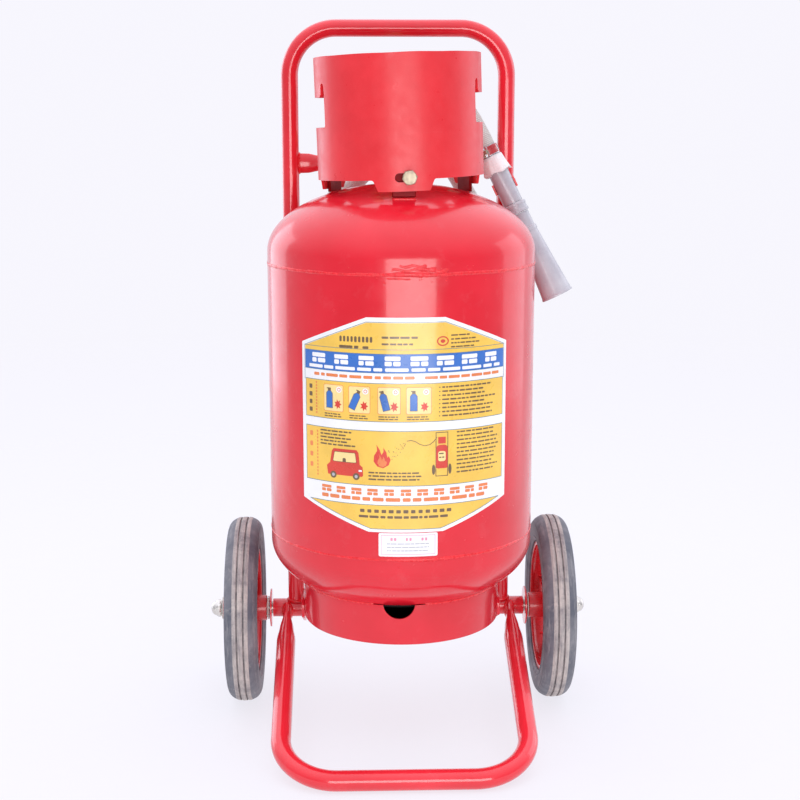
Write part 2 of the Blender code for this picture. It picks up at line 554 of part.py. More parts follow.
for tag, sx in (("left", -1), ("right", 1)):
    at = (sx * TC, AXLE_Y, AXLE_Z)
    turn = (0, math.pi / 2, 0)
    lathe("tyre_%s" % tag, tyre_profile(), "rubber", segs=40, loc=at, rot=turn, closed=True)
    rim = apply_mods(lathe("wheel_%s" % tag, rim_profile(), "red_paint", segs=32, loc=at, rot=turn, closed=True))
    hubl = rod("add_hub_%s" % tag, HUB_R, 0.0590, (sx * 0.2090, AXLE_Y, AXLE_Z), "X", segs=18, cutter=True, bevel=0.0012)
    hubl = apply_mods(hubl)
    boolean(rim, hubl, "UNION")
    for k in range(5):
        ang = math.radians(90 + 72 * k)
        # a pressed channel, open outwards, from the hub to the rim
        chan = [(-0.0125, -0.0050), (0.0125, -0.0050), (0.0125, 0.0050), (0.0095, 0.0050), (0.0085, -0.0018), (-0.0085, -0.0018), (-0.0095, 0.0050), (-0.0125, 0.0050)]
        length = 0.0705
        m = Matrix.Translation((sx * TC, AXLE_Y + 0.0500 * math.cos(ang), AXLE_Z + 0.0500 * math.sin(ang))) @ Matrix.Rotation(ang, 4, "X") @ Matrix(((0, sx, 0, 0), (0, 0, 1, 0), (sx, 0, 0, 0), (0, 0, 0, 1)))
        spoke = outline("add_spoke_%s_%d" % (tag, k), chan, length, cutter=True)
        spoke.matrix_local = m
        boolean(rim, spoke, "UNION")
    boolean(rim, rod("cut_hub_%s" % tag, 0.0131, 0.10, (sx * 0.2090, AXLE_Y, AXLE_Z), "X", segs=16, cutter=True))
    rim = apply_mods(rim)
    for where, x0, way in (("inner", 0.1776, 1), ("outer", 0.2404, -1)):
        up = sx * way
        prof = [(0.0083, 0.0), (0.0160, 0.0), (0.0160, 0.0014), (0.0127, 0.0014), (0.0127, 0.0200), (0.0083, 0.0200)][::-1]
        lathe("wheel_bush_%s_%s" % (where, tag), prof, "nylon", segs=16, loc=(sx * x0, AXLE_Y, AXLE_Z), rot=(0, up * math.pi / 2, 0), closed=True)
    # plate washer, wheel, plate washer, cap nut
    rw = [(0.0085, 0.0010), (0.0260, 0.0010), (0.0260, -0.0010), (0.0085, -0.0010)]
    lathe("axle_washer_inner_%s" % tag, rw, "zinc", segs=20, loc=(sx * 0.1745, AXLE_Y, AXLE_Z), rot=turn, closed=True)
    rw = [(0.0085, 0.0006), (0.0150, 0.0006), (0.0150, -0.0006), (0.0085, -0.0006)]
    lathe("axle_washer_outer_%s" % tag, rw, "zinc", segs=16, loc=(sx * 0.2413, AXLE_Y, AXLE_Z), rot=turn, closed=True)
    cap = lathe("axle_nut_%s" % tag, [(0, 0.0142), (0.0040, 0.0136), (0.0078, 0.0112), (0.0098, 0.0072), (0.0100, 0.0)] + [(0, 0.0)], "zinc", segs=20, loc=(sx * 0.2430, AXLE_Y, AXLE_Z), rot=(0, sx * math.pi / 2, 0))
    cap = apply_mods(cap)
    hx = rod("add_nut_%s" % tag, 0.0128, 0.0068, (sx * 0.2464, AXLE_Y, AXLE_Z), "X", sides=6, cutter=True)
    boolean(cap, hx, "UNION")

# ------------------------------------------------------------------ hose, on its hanger behind the cylinder
hanger = box("hose_hanger", (0.0600, 0.0030, 0.0900), (0, 0.1683, 0.5480), "red_paint", bevel=0.0008)
arc = []
for i in range(9):
    t = math.radians(62 + 56 * i / 8)
    arc.append((0.1150 * math.cos(t), COIL_Z + 0.1150 * math.sin(t)))
for i in range(9):
    t = math.radians(118 - 56 * i / 8)
    arc.append((0.1118 * math.cos(t), COIL_Z + 0.1118 * math.sin(t)))
saddle = outline("add_saddle", arc, 0.0590, cutter=True, loc=(0, 0.1978, 0), rot=(math.radians(90), 0, 0))
lip = []
for i in range(9):
    t = math.radians(66 + 48 * i / 8)
    lip.append((0.1380 * math.cos(t), COIL_Z + 0.1380 * math.sin(t)))
for i in range(9):
    t = math.radians(114 - 48 * i / 8)
    lip.append((0.1125 * math.cos(t), COIL_Z + 0.1125 * math.sin(t)))
lipo = outline("add_lip", lip, 0.0030, cutter=True, loc=(0, 0.2262, 0), rot=(math.radians(90), 0, 0))
boolean(hanger, saddle, "UNION")
boolean(hanger, lipo, "UNION")

h = 0.0245
lathe("hose_coil", [(0.1160, h - 0.006), (0.1220, h), (0.1590, h), (0.1650, h - 0.006), (0.1650, -h + 0.006), (0.1590, -h), (0.1220, -h), (0.1160, -h + 0.006)], "canvas", segs=28, loc=(0, 0.1990, COIL_Z), rot=(math.pi / 2, 0, 0), closed=True)

lead_in = smooth([(0, 0.1282, OUTLET_Z), (0, 0.1620, OUTLET_Z - 0.001), (-0.016, 0.1860, 0.7400), (-0.060, 0.1960, 0.6960), (-0.115, 0.1920, 0.6310), (-0.146, 0.1880, 0.5650), (-0.1525, 0.1872, 0.5275)], 0.022)
pipe("hose_lead_in", lead_in, HOSE_R, "canvas", around=2)

u = (NOZ_B - NOZ_A).normalized()
lead_out = smooth([(0.1525, 0.2105, 0.5275), (0.146, 0.2085, 0.5700), (0.119, 0.2010, 0.6450), (0.077, 0.1880, 0.7180), (0.043, 0.1660, 0.7790), (0.037, 0.1330, 0.8180), (0.0600, 0.1085, 0.8230), (0.0870, 0.0960, 0.7960), NOZ_A - u * 0.0260, NOZ_A - u * 0.0088], 0.018)
pipe("hose_lead_out", lead_out, HOSE_R, "canvas", around=2)


def along(s):
    return NOZ_A + u * s


def turned(name, prof, material, s0, segs=18, closed=True):
    """A turned piece on the nozzle's axis: (radius, distance from the hose end)."""
    q = u.to_track_quat("Z", "Y")
    o = lathe(name, prof, material, segs=segs, closed=closed)
    o.rotation_mode = "QUATERNION"
    o.rotation_quaternion = q
    o.location = along(s0)
    return o


# the clamp's band over the hose's end, the hose's frayed jacket, then the nozzle's three pieces
turned("hose_clamp", [(0.0128, 0.0068), (0.0141, 0.0068), (0.0141, -0.0068), (0.0128, -0.0068)], "steel", 0.0)
screw = rod("add_clamp_screw", 0.0040, 0.0150, (0, 0, 0), "Z", sides=6, cutter=True)
cl = apply_mods(bpy.data.objects["hose_clamp"])
side_dir = (Vector((-0.6, -0.8, 0)) - u * Vector((-0.6, -0.8, 0)).dot(u)).normalized()
screw.rotation_mode = "QUATERNION"
screw.rotation_quaternion = side_dir.cross(u).to_track_quat("Z", "Y")
screw.location = along(0.0) + side_dir * 0.0172
boolean(cl, screw, "UNION")
turned("hose_jacket_end", [(0.0136, 0.0085), (0.0150, 0.0085), (0.0178, 0.0260), (0.0178, 0.0300), (0.0150, 0.0300), (0.0136, 0.0180)][::-1], "canvas", 0.0)
turned("nozzle_tail", [(0.0095, -0.0078), (0.0118, -0.0078), (0.0120, 0.0060), (0.0131, 0.0090), (0.0131, 0.0735), (0.0095, 0.0735)][::-1], "grey_plastic", 0.0)
un = turned("nozzle_union", [(0.0095, 0.0740), (0.0150, 0.0740), (0.0156, 0.0750), (0.0156, 0.0870), (0.0150, 0.0880), (0.0095, 0.0880)][::-1], "grey_plastic", 0.0)
turned("nozzle_barrel", [(0.0095, 0.0885), (0.0134, 0.0885), (0.0134, 0.1085), (0.0150, 0.1090), (0.0150, 0.1145), (0.0142, 0.1150), (0.0150, 0.1250), (0.0202, 0.2015), (0.0210, 0.2053), (0.0186, 0.2053), (0.0120, 0.1220), (0.0095, 0.1080)][::-1], "grey_plastic", 0.0)

# the clip on the handle's right side that the nozzle's tail sits in
zc = 0.7010
sc = (NOZ_A.z - zc) / (-u.z)
nc = along(sc)
clip = apply_mods(lathe("nozzle_clip", [(0.0113, 0.0080), (0.0135, 0.0080), (0.0135, -0.0080), (0.0113, -0.0080)], "guard_paint", segs=18, loc=(HANDLE_X, HANDLE_Y, zc), closed=True))
arm = box("add_clip_arm", (0.0100, 0.0036, 0.0100), (0.1384, 0.0970, zc), cutter=True)
cup = apply_mods(lathe("add_clip_cup", [(0.0135, 0.0070), (0.0158, 0.0070), (0.0158, -0.0070), (0.0135, -0.0070)], segs=20, closed=True, cutter=True))
cup.rotation_mode = "QUATERNION"
cup.rotation_quaternion = u.to_track_quat("Z", "Y")
cup.location = nc
open_front = box("cut_clip_mouth", (0.060, 0.040, 0.060), (nc.x, nc.y - 0.0220, nc.z), cutter=True)
boolean(cup, open_front)
cup = apply_mods(cup)
boolean(clip, arm, "UNION")
boolean(clip, cup, "UNION")

# ------------------------------------------------------------------ the two labels, as thin plates bent round the shell
LI, LO = R + 0.0003, R + 0.0009
ring_l = lathe("instruction_label", [(LO, 0.5660), (LO, 0.3060), (LI, 0.3060), (LI, 0.5660)], "yellow_label", closed=True)
ring_l = apply_mods(ring_l)
octo = [(-0.0440, 0.3089), (0.0440, 0.3089), (0.1204, 0.3410), (0.1204, 0.5290), (0.0455, 0.5628), (-0.0455, 0.5628), (-0.1204, 0.5290), (-0.1204, 0.3410)]
boolean(ring_l, outline("keep_label", octo, 0.150, cutter=True, loc=(0, -0.150, 0), rot=(math.radians(90), 0, 0)), "INTERSECT")
ring_s = lathe("inspection_label", [(LO, 0.3120), (LO, 0.2790), (LI, 0.2790), (LI, 0.3120)], "white_label", closed=True)
ring_s = apply_mods(ring_s)
small = [(-0.0300, 0.2795), (0.0355, 0.2795), (0.0375, 0.2815), (0.0375, 0.3060), (0.0355, 0.3080), (-0.0300, 0.3080), (-0.0320, 0.3060), (-0.0320, 0.2815)]
boolean(ring_s, outline("keep_small_label", small, 0.150, cutter=True, loc=(0, -0.150, 0), rot=(math.radians(90), 0, 0)), "INTERSECT")

for o in parts.objects:
    if o.type == "MESH":
        for f in o.data.polygons:
            f.use_smooth = True
bpy.context.view_layer.update()
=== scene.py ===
"""Looks of the wheeled dry powder extinguisher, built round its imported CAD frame.

Metres, +Z up, the front is -Y. Shapes are written about the cylinder's axis, which stands at Y = DY in
the frame, so most pieces are objects placed at (0, DY, 0).
"""
import json
import math
import random

import bmesh
import bpy
import numpy as np
from mathutils import Matrix, Vector, noise

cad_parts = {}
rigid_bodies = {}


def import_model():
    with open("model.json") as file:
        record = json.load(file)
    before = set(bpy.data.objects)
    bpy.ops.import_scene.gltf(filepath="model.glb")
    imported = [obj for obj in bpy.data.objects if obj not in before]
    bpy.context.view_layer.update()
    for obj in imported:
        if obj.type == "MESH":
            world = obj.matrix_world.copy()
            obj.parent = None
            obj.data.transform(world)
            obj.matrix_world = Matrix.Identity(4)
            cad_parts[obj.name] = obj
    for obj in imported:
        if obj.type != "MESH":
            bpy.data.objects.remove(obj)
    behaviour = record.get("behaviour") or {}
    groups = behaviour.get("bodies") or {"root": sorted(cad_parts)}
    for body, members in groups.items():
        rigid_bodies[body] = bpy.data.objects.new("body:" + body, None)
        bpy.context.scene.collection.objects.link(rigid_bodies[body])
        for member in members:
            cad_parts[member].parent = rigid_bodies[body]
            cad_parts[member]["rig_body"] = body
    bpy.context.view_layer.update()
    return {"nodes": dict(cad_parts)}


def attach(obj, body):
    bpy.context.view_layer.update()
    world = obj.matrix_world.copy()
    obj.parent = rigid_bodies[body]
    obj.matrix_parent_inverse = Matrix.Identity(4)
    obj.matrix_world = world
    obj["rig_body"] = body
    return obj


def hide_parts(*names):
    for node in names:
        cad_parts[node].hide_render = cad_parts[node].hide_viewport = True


for old in list(bpy.data.objects):
    bpy.data.objects.remove(old, do_unlink=True)

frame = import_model()
NODES = frame["nodes"]

# ------------------------------------------------------------------ sizes, as in the CAD
DY = -0.0128
R = 0.166
WALL = 0.0025
HEAD_H = 0.083
Z_TOP_TAN = 0.6255
Z_TOP_SEAM = 0.6115
Z_BOT_SEAM = 0.275
Z_BOT_TAN = 0.261
SKIRT_R = 0.125
SKIRT_T = 0.003
SKIRT_Z0 = 0.1545
SKIRT_Z1 = 0.2056
GUARD_R = 0.1018
GUARD_T = 0.003
GUARD_Z0 = 0.716
GUARD_Z1 = 0.8615
GUARD_LEAN = math.radians(-2.0)
TAB_Z = 0.7025
BOLT_Z = 0.7185
TUBE_R = 0.011
HANDLE_X = 0.140
HANDLE_Y = 0.110
HANDLE_TOP = 0.911
HANDLE_BEND = 0.060
AXLE_Y = 0.110
AXLE_Z = 0.125
SLEEVE_R = 0.0125
ROD_R = 0.008
FOOT_R = 0.0125
FOOT_X = 0.152
FOOT_Y = -0.197
FOOT_BEND = 0.070
WHEEL_R = 0.125
TYRE_X0 = 0.188
TYRE_X1 = 0.231
TC = (TYRE_X0 + TYRE_X1) / 2
HOSE_R = 0.012
OUTLET_Z = 0.757
COIL_Z = 0.434
PIVOT = Vector((0, 0.014, 0.8065))
NOZ_A = Vector((0.1155, 0.086, 0.7440))
NOZ_B = Vector((0.2058, 0.063, 0.5598))
NOZ_U = (NOZ_B - NOZ_A).normalized()

# ------------------------------------------------------------------ camera
cam_data = bpy.data.cameras.new("camera")
cam_data.lens = 66.3
cam_data.sensor_width = 36.0
cam_data.clip_start = 0.05
cam = bpy.data.objects.new("camera", cam_data)
bpy.context.scene.collection.objects.link(cam)
cam.location = (-0.0625, -1.834 + DY, 0.786)
cam.rotation_euler = (math.radians(90 - 10.81), 0, -math.atan2(0.0333, 0.9995))
bpy.context.scene.camera = cam


# ------------------------------------------------------------------ materials
class Mat:
    """A Principled material with a short way of adding nodes."""

    def __init__(self, name, colour, rough, metal=0.0, **sockets):
        self.m = bpy.data.materials.new(name)
        self.m.use_nodes = True
        self.t = self.m.node_tree
        self.b = self.t.nodes["Principled BSDF"]
        self.b.inputs["Base Color"].default_value = (*colour, 1)
        self.b.inputs["Roughness"].default_value = rough
        self.b.inputs["Metallic"].default_value = metal
        self.m.diffuse_color = (*colour, 1)
        self._coord = None
        for k, v in sockets.items():
            key = k.replace("_", " ")
            s = self.b.inputs[key]
            s.default_value = (*v, 1) if isinstance(v, tuple) and len(v) == 3 and s.type == "RGBA" else v

    def node(self, kind, inputs=None, **props):
        n = self.t.nodes.new(kind)
        for k, v in props.items():
            setattr(n, k, v)
        for k, v in (inputs or {}).items():
            if isinstance(v, bpy.types.NodeSocket):
                self.t.links.new(v, n.inputs[k])
            else:
                n.inputs[k].default_value = v
        return n

    def coord(self, scale=(1, 1, 1), kind="Object"):
        tc = self.node("ShaderNodeTexCoord")
        mp = self.node("ShaderNodeMapping", {"Vector": tc.outputs[kind], "Scale": scale})
        return mp.outputs["Vector"]

    def noise(self, scale, detail=3.0, rough=0.55, dist=0.0, vec=None):
        n = self.node("ShaderNodeTexNoise", {"Vector": vec or self.coord(), "Scale": scale, "Detail": detail, "Roughness": rough, "Distortion": dist})
        return n.outputs["Fac"]

    def voronoi(self, scale, feature="F1", vec=None, rand=1.0):
        n = self.node("ShaderNodeTexVoronoi", {"Vector": vec or self.coord(), "Scale": scale, "Randomness": rand}, feature=feature)
        return n.outputs["Distance"]

    def wave(self, scale, direction="X", dist=0.0, vec=None, profile="SIN"):
        n = self.node("ShaderNodeTexWave", {"Vector": vec or self.coord(), "Scale": scale, "Distortion": dist}, bands_direction=direction, wave_profile=profile)
        return n.outputs["Fac"]

    def range(self, v, a, b, c, d):
        n = self.node("ShaderNodeMapRange", {"Value": v, "From Min": a, "From Max": b, "To Min": c, "To Max": d}, clamp=True)
        return n.outputs["Result"]

    def math(self, op, a, b=0.0):
        n = self.node("ShaderNodeMath", operation=op)
        for i, v in enumerate((a, b)):
            if isinstance(v, bpy.types.NodeSocket):
                self.t.links.new(v, n.inputs[i])
            else:
                n.inputs[i].default_value = v
        return n.outputs[0]

    def mix(self, fac, a, b, blend="MIX"):
        n = self.node("ShaderNodeMix", data_type="RGBA", blend_type=blend)
        for key, v in ((0, fac), (6, a), (7, b)):
            if isinstance(v, bpy.types.NodeSocket):
                self.t.links.new(v, n.inputs[key])
            elif key == 0:
                n.inputs[0].default_value = v
            else:
                n.inputs[key].default_value = (*v, 1)
        return n.outputs[2]

    def colour(self, out):
        self.t.links.new(out, self.b.inputs["Base Color"])

    def rough(self, out):
        self.t.links.new(out, self.b.inputs["Roughness"])

    def bump(self, height, strength, distance, after=None):
        n = self.node("ShaderNodeBump", {"Height": height, "Strength": strength, "Distance": distance})
        if after is not None:
            self.t.links.new(after, n.inputs["Normal"])
        self.t.links.new(n.outputs["Normal"], self.b.inputs["Normal"])
        return n.outputs["Normal"]

    def z(self, kind="Object"):
        tc = self.node("ShaderNodeTexCoord")
        return self.node("ShaderNodeSeparateXYZ", {"Vector": tc.outputs[kind]}).outputs


def red_gloss(name, colour=(0.75, 0.0120, 0.0290), deep=(0.66, 0.0085, 0.0210), rough=0.20, wave_depth=0.00035, peel=0.00003, dust=0.10):
    """Sprayed enamel over steel: a little orange peel, a slightly wavy sheet, thin and thick places, and fine dust."""
    m = Mat(name, colour, rough, Coat_Weight=0.35, Coat_Roughness=0.06, Coat_IOR=1.5, Specular_IOR_Level=0.5)
    low = m.noise(9.0, 3.0, 0.6)
    c = m.mix(m.range(low, 0.35, 0.68, 0.0, 1.0), deep, colour)
    specks = m.voronoi(260.0)
    c = m.mix(m.range(specks, 0.035, 0.085, 0.45, 0.0), c, (0.40, 0.012, 0.016))
    haze = m.noise(38.0, 5.0, 0.7, 0.4)
    c = m.mix(m.range(haze, 0.56, 0.78, 0.0, dust), c, (0.78, 0.22, 0.24))
    m.colour(c)
    m.rough(m.range(m.noise(55.0, 4.0, 0.6), 0.3, 0.75, rough * 0.72, rough * 1.45))
    a = m.bump(m.noise(14.0, 1.0, 0.4), 0.55, wave_depth)
    b = m.bump(m.noise(420.0, 2.0, 0.5), 0.35, peel, a)
    m.bump(specks, 0.12, 0.00004, b)
    return m.m


# Painted highlight: the weld red runs lighter than the shell's paint, lifting the shade between the beads' ripples.
def lit_weld_paint(name):
    m = Mat(name, (0.62, 0.006, 0.012), 0.24, Coat_Weight=0.3, Coat_Roughness=0.08)
    c = m.mix(m.range(m.noise(160.0, 4.0, 0.65), 0.35, 0.7, 0.0, 1.0), (0.70, 0.009, 0.016), (0.90, 0.022, 0.034))
    m.colour(c)
    m.rough(m.range(m.noise(220.0, 3.0), 0.3, 0.7, 0.16, 0.40))
    m.bump(m.noise(420.0, 3.0, 0.6), 0.35, 0.00010)
    return m.m


def guard_paint():
    """The shroud's own coat: flatter, with overspray grain and rubbed places."""
    m = Mat("guard_paint", (0.60, 0.010, 0.014), 0.36, Coat_Weight=0.10, Coat_Roughness=0.25)
    blotch = m.noise(11.0, 4.0, 0.6)
    c = m.mix(m.range(blotch, 0.32, 0.7, 0.0, 1.0), (0.70, 0.020, 0.028), (0.83, 0.032, 0.043))
    grain = m.noise(900.0, 3.0, 0.7)
    c = m.mix(m.range(grain, 0.55, 0.8, 0.0, 0.35), c, (0.80, 0.10, 0.11))
    scr = m.noise(5.0, 6.0, 0.75, 1.2, vec=m.coord((1, 1, 14)))
    c = m.mix(m.range(scr, 0.66, 0.72, 0.0, 0.25), c, (0.74, 0.09, 0.10))
    m.colour(c)
    m.rough(m.range(m.noise(70.0, 4.0, 0.6), 0.3, 0.75, 0.27, 0.48))
    a = m.bump(m.noise(700.0, 3.0, 0.6), 0.35, 0.00006)
    m.bump(m.noise(16.0, 2.0, 0.5), 0.5, 0.0005, a)
    return m.m


def metal(name, colour, dark, rough, grain=(1, 1, 1), scale=240.0, depth=0.00004, stain=None, stain_share=0.3):
    m = Mat(name, colour, rough, 1.0)
    c = m.mix(m.range(m.noise(60.0, 4.0, 0.65), 0.3, 0.7, 0.0, 1.0), dark, colour)
    if stain:
        c = m.mix(m.range(m.noise(35.0, 6.0, 0.75, 0.6), 0.55, 0.72, 0.0, stain_share), c, stain)
    m.colour(c)
    fine = m.noise(scale, 4.0, 0.7, vec=m.coord(grain))
    m.rough(m.range(fine, 0.3, 0.75, rough * 0.75, rough * 1.6))
    m.bump(fine, 0.4, depth)
    return m.m


RED = red_gloss("red_paint")
RED_TUBE = red_gloss("red_paint_tube", colour=(0.80, 0.022, 0.038), deep=(0.69, 0.012, 0.024), rough=0.18, wave_depth=0.0002, peel=0.00004, dust=0.14)
_tube = next(n for n in RED_TUBE.node_tree.nodes if n.type == "BSDF_PRINCIPLED")
_tube.inputs["Coat Weight"].default_value = 0.7
_tube.inputs["Coat Roughness"].default_value = 0.035
RED_WHEEL = red_gloss("red_paint_wheel", colour=(0.66, 0.012, 0.020), deep=(0.48, 0.007, 0.012), rough=0.28, wave_depth=0.0003, peel=0.00006, dust=0.16)
# Painted shade: a darker, duller copy of the red paint, used on the guard lugs for the shadow under the guard's tabs.
RED_SHADED = red_gloss("red_paint_shaded", colour=(0.30, 0.006, 0.010), deep=(0.20, 0.004, 0.007), rough=0.34, dust=0.06)
next(n for n in RED_SHADED.node_tree.nodes if n.type == "BSDF_PRINCIPLED").inputs["Specular IOR Level"].default_value = 0.08
next(n for n in RED_SHADED.node_tree.nodes if n.type == "BSDF_PRINCIPLED").inputs["Coat Weight"].default_value = 0.0
WELD_LIT = lit_weld_paint("red_paint_weld_lit")
GUARD = guard_paint()
ZINC = metal("zinc_plate", (0.80, 0.78, 0.73), (0.62, 0.60, 0.56), 0.30, stain=(0.74, 0.62, 0.40), stain_share=0.35)
BOLT = metal("zinc_yellow", (0.56, 0.49, 0.38), (0.42, 0.35, 0.24), 0.46, stain=(0.70, 0.66, 0.52), stain_share=0.5)
BRASS = metal("brass", (0.80, 0.58, 0.27), (0.66, 0.45, 0.18), 0.24, scale=300.0, stain=(0.46, 0.30, 0.13), stain_share=0.35)
STEEL = metal("bright_steel", (0.80, 0.80, 0.81), (0.62, 0.62, 0.64), 0.20, grain=(1, 1, 9), stain=(0.50, 0.48, 0.46), stain_share=0.25)


def rubber_side():
    m = Mat("tyre_sidewall", (0.14, 0.145, 0.16), 0.62, Specular_IOR_Level=0.35)
    dust = m.noise(16.0, 6.0, 0.7, 0.3)
    c = m.mix(m.range(dust, 0.36, 0.66, 0.0, 1.0), (0.105, 0.112, 0.140), (0.225, 0.222, 0.245))
    streak = m.noise(22.0, 5.0, 0.75, 0.3, vec=m.coord((1, 1, 10)))
    c = m.mix(m.range(streak, 0.52, 0.70, 0.0, 0.55), c, (0.36, 0.345, 0.35))
    scuff = m.noise(45.0, 5.0, 0.75, 1.0)
    c = m.mix(m.range(scuff, 0.60, 0.72, 0.0, 0.65), c, (0.36, 0.335, 0.33))
    c = m.mix(m.range(m.voronoi(170.0), 0.03, 0.07, 0.7, 0.0), c, (0.05, 0.05, 0.055))
    m.colour(c)
    m.rough(m.range(scuff, 0.3, 0.7, 0.48, 0.78))
    a = m.bump(m.noise(520.0, 3.0, 0.65), 0.5, 0.00012)
    m.bump(m.noise(60.0, 5.0, 0.7), 0.5, 0.0005, a)
    return m.m


def rubber_tread():
    """The worn crown: dusty tan over grey rubber, darker where the dirt hasn't reached."""
    m = Mat("tyre_tread", (0.36, 0.32, 0.31), 0.85, Specular_IOR_Level=0.25)
    dust = m.noise(22.0, 6.0, 0.72, 0.5)
    c = m.mix(m.range(dust, 0.34, 0.62, 0.0, 1.0), (0.215, 0.20, 0.215), (0.52, 0.465, 0.435))
    streak = m.noise(26.0, 5.0, 0.7, 0.2, vec=m.coord((1, 1, 13)))
    c = m.mix(m.range(streak, 0.50, 0.68, 0.0, 0.65), c, (0.62, 0.565, 0.525))
    c = m.mix(m.range(streak, 0.44, 0.30, 0.0, 0.70), c, (0.17, 0.16, 0.18))
    fine = m.noise(170.0, 5.0, 0.75)
    c = m.mix(m.range(fine, 0.55, 0.75, 0.0, 0.6), c, (0.16, 0.15, 0.16))
    m.colour(c)
    a = m.bump(fine, 0.6, 0.0003)
    m.bump(m.noise(900.0, 3.0, 0.6), 0.4, 0.00008, a)
    return m.m


def rubber_groove():
    m = Mat("tyre_groove", (0.12, 0.11, 0.12), 0.9, Specular_IOR_Level=0.2)
    c = m.mix(m.range(m.noise(60.0, 5.0, 0.7), 0.35, 0.7, 0.0, 1.0), (0.15, 0.14, 0.15), (0.38, 0.335, 0.32))
    m.colour(c)
    m.bump(m.noise(400.0, 3.0, 0.65), 0.5, 0.00015)
    return m.m


TYRE_SIDE, TYRE_TREAD, TYRE_GROOVE = rubber_side(), rubber_tread(), rubber_groove()


def nozzle_plastic():
    m = Mat("nozzle_plastic", (0.45, 0.44, 0.48), 0.22, Specular_IOR_Level=0.6)
    c = m.mix(m.range(m.noise(30.0, 4.0, 0.6), 0.3, 0.7, 0.0, 1.0), (0.41, 0.40, 0.45), (0.54, 0.535, 0.575))
    c = m.mix(m.range(m.noise(9.0, 6.0, 0.8, 0.8, vec=m.coord((9, 9, 1.2))), 0.62, 0.74, 0.0, 0.25), c, (0.56, 0.55, 0.58))
    m.colour(c)
    m.rough(m.range(m.noise(80.0, 4.0, 0.65), 0.3, 0.75, 0.15, 0.32))
    a = m.bump(m.noise(500.0, 2.0, 0.5), 0.25, 0.00005)
    m.bump(m.noise(24.0, 2.0, 0.5), 0.4, 0.0002, a)
    return m.m


def weave(name, colour, dark, along=1.0, rough=0.82):
    """Twill of a hose jacket: the UV map runs once round and about one unit every circumference along."""
    m = Mat(name, colour, rough, Sheen_Weight=0.25, Sheen_Roughness=0.5)
    uv = m.node("ShaderNodeUVMap", uv_map="jacket")
    mp = m.node("ShaderNodeMapping", {"Vector": uv.outputs["UV"], "Scale": (1.0, 1.0, 1.0)})
    vec = mp.outputs["Vector"]
    warp = m.node("ShaderNodeTexWave", {"Vector": vec, "Scale": 11.0, "Distortion": 0.6, "Detail": 2.0, "Detail Scale": 3.0}, bands_direction="X").outputs["Fac"]
    weft = m.node("ShaderNodeTexWave", {"Vector": vec, "Scale": 14.0, "Distortion": 0.5, "Detail": 2.0, "Detail Scale": 3.0}, bands_direction="DIAGONAL").outputs["Fac"]
    cloth = m.math("MULTIPLY", warp, weft)
    c = m.mix(m.range(cloth, 0.0, 0.7, 0.0, 1.0), dark, colour)
    grime = m.noise(26.0, 5.0, 0.7, 0.4)
    c = m.mix(m.range(grime, 0.52, 0.74, 0.0, 0.45), c, (0.50, 0.46, 0.40))
    m.colour(c)
    a = m.bump(cloth, 0.8, 0.0007)
    m.bump(m.noise(900.0, 3.0, 0.7), 0.5, 0.00015, a)
    return m.m


NOZZLE = nozzle_plastic()
CANVAS = weave("hose_canvas", (0.80, 0.785, 0.75), (0.50, 0.48, 0.45))


def frayed():
    m = Mat("jacket_end_canvas", (0.88, 0.86, 0.86), 0.85, Sheen_Weight=0.3, Sheen_Roughness=0.5)
    yarn = m.wave(95.0, "Z", 2.5)
    turn = m.noise(260.0, 4.0, 0.7, vec=m.coord((1, 1, 0.25)))
    c = m.mix(m.range(turn, 0.3, 0.75, 0.0, 1.0), (0.90, 0.885, 0.89), (0.72, 0.69, 0.70))
    m.colour(c)
    a = m.bump(turn, 0.7, 0.0006)
    m.bump(yarn, 0.35, 0.0003, a)
    return m.m


JACKET = frayed()


def simple(name, colour, rough, scale, spread, depth, metal_=0.0, **sockets):
    """A moulded or printed surface with fine tone variation and grain."""
    m = Mat(name, colour, rough, metal_, **sockets)
    a = tuple(max(0.0, x * (1 - spread)) for x in colour)
    b = tuple(min(1.0, x * (1 + spread * 0.6)) for x in colour)
    m.colour(m.mix(m.range(m.noise(scale, 4.0, 0.6), 0.3, 0.7, 0.0, 1.0), a, b))
    m.rough(m.range(m.noise(scale * 3.1, 3.0), 0.3, 0.7, rough * 0.8, rough * 1.3))
    m.bump(m.noise(scale * 9.0, 3.0, 0.6), 0.3, depth)
    return m.m


# Near-black painted shade for the hollow inside the skirt and under the vessel.
SHADE_BLACK = simple("painted_shade_black", (0.012, 0.010, 0.011), 0.8, 70.0, 0.4, 0.0003)
NYLON = simple("bush_nylon", (0.80, 0.79, 0.74), 0.45, 90.0, 0.10, 0.00008)
SEAL = simple("seal_rubber", (0.03, 0.03, 0.032), 0.6, 120.0, 0.3, 0.0001)
BLACK = simple("needle_black", (0.015, 0.015, 0.017), 0.4, 150.0, 0.3, 0.00003)
DIAL = simple("white_card", (0.86, 0.86, 0.84), 0.5, 120.0, 0.05, 0.00002)
POWDER = simple("powder", (0.84, 0.79, 0.68), 0.95, 180.0, 0.12, 0.0006)
PRINT = dict(Coat_Weight=0.5, Coat_Roughness=0.10)


def film(name, colour, spread=0.05, crease=0.00025):
    """Printed vinyl under a clear coat, laid over the shell with faint ripples."""
    m = Mat(name, colour, 0.30, Coat_Weight=0.5, Coat_Roughness=0.10)
    a = tuple(x * (1 - spread) for x in colour)
    b = tuple(min(1.0, x * (1 + spread)) for x in colour)
    m.colour(m.mix(m.range(m.noise(28.0, 4.0, 0.6), 0.3, 0.7, 0.0, 1.0), a, b))
    m.rough(m.range(m.noise(70.0, 4.0), 0.3, 0.7, 0.22, 0.40))
    a = m.bump(m.noise(20.0, 2.0, 0.5), 0.5, crease)
    m.bump(m.noise(600.0, 2.0, 0.5), 0.2, 0.00003, a)
    return m.m


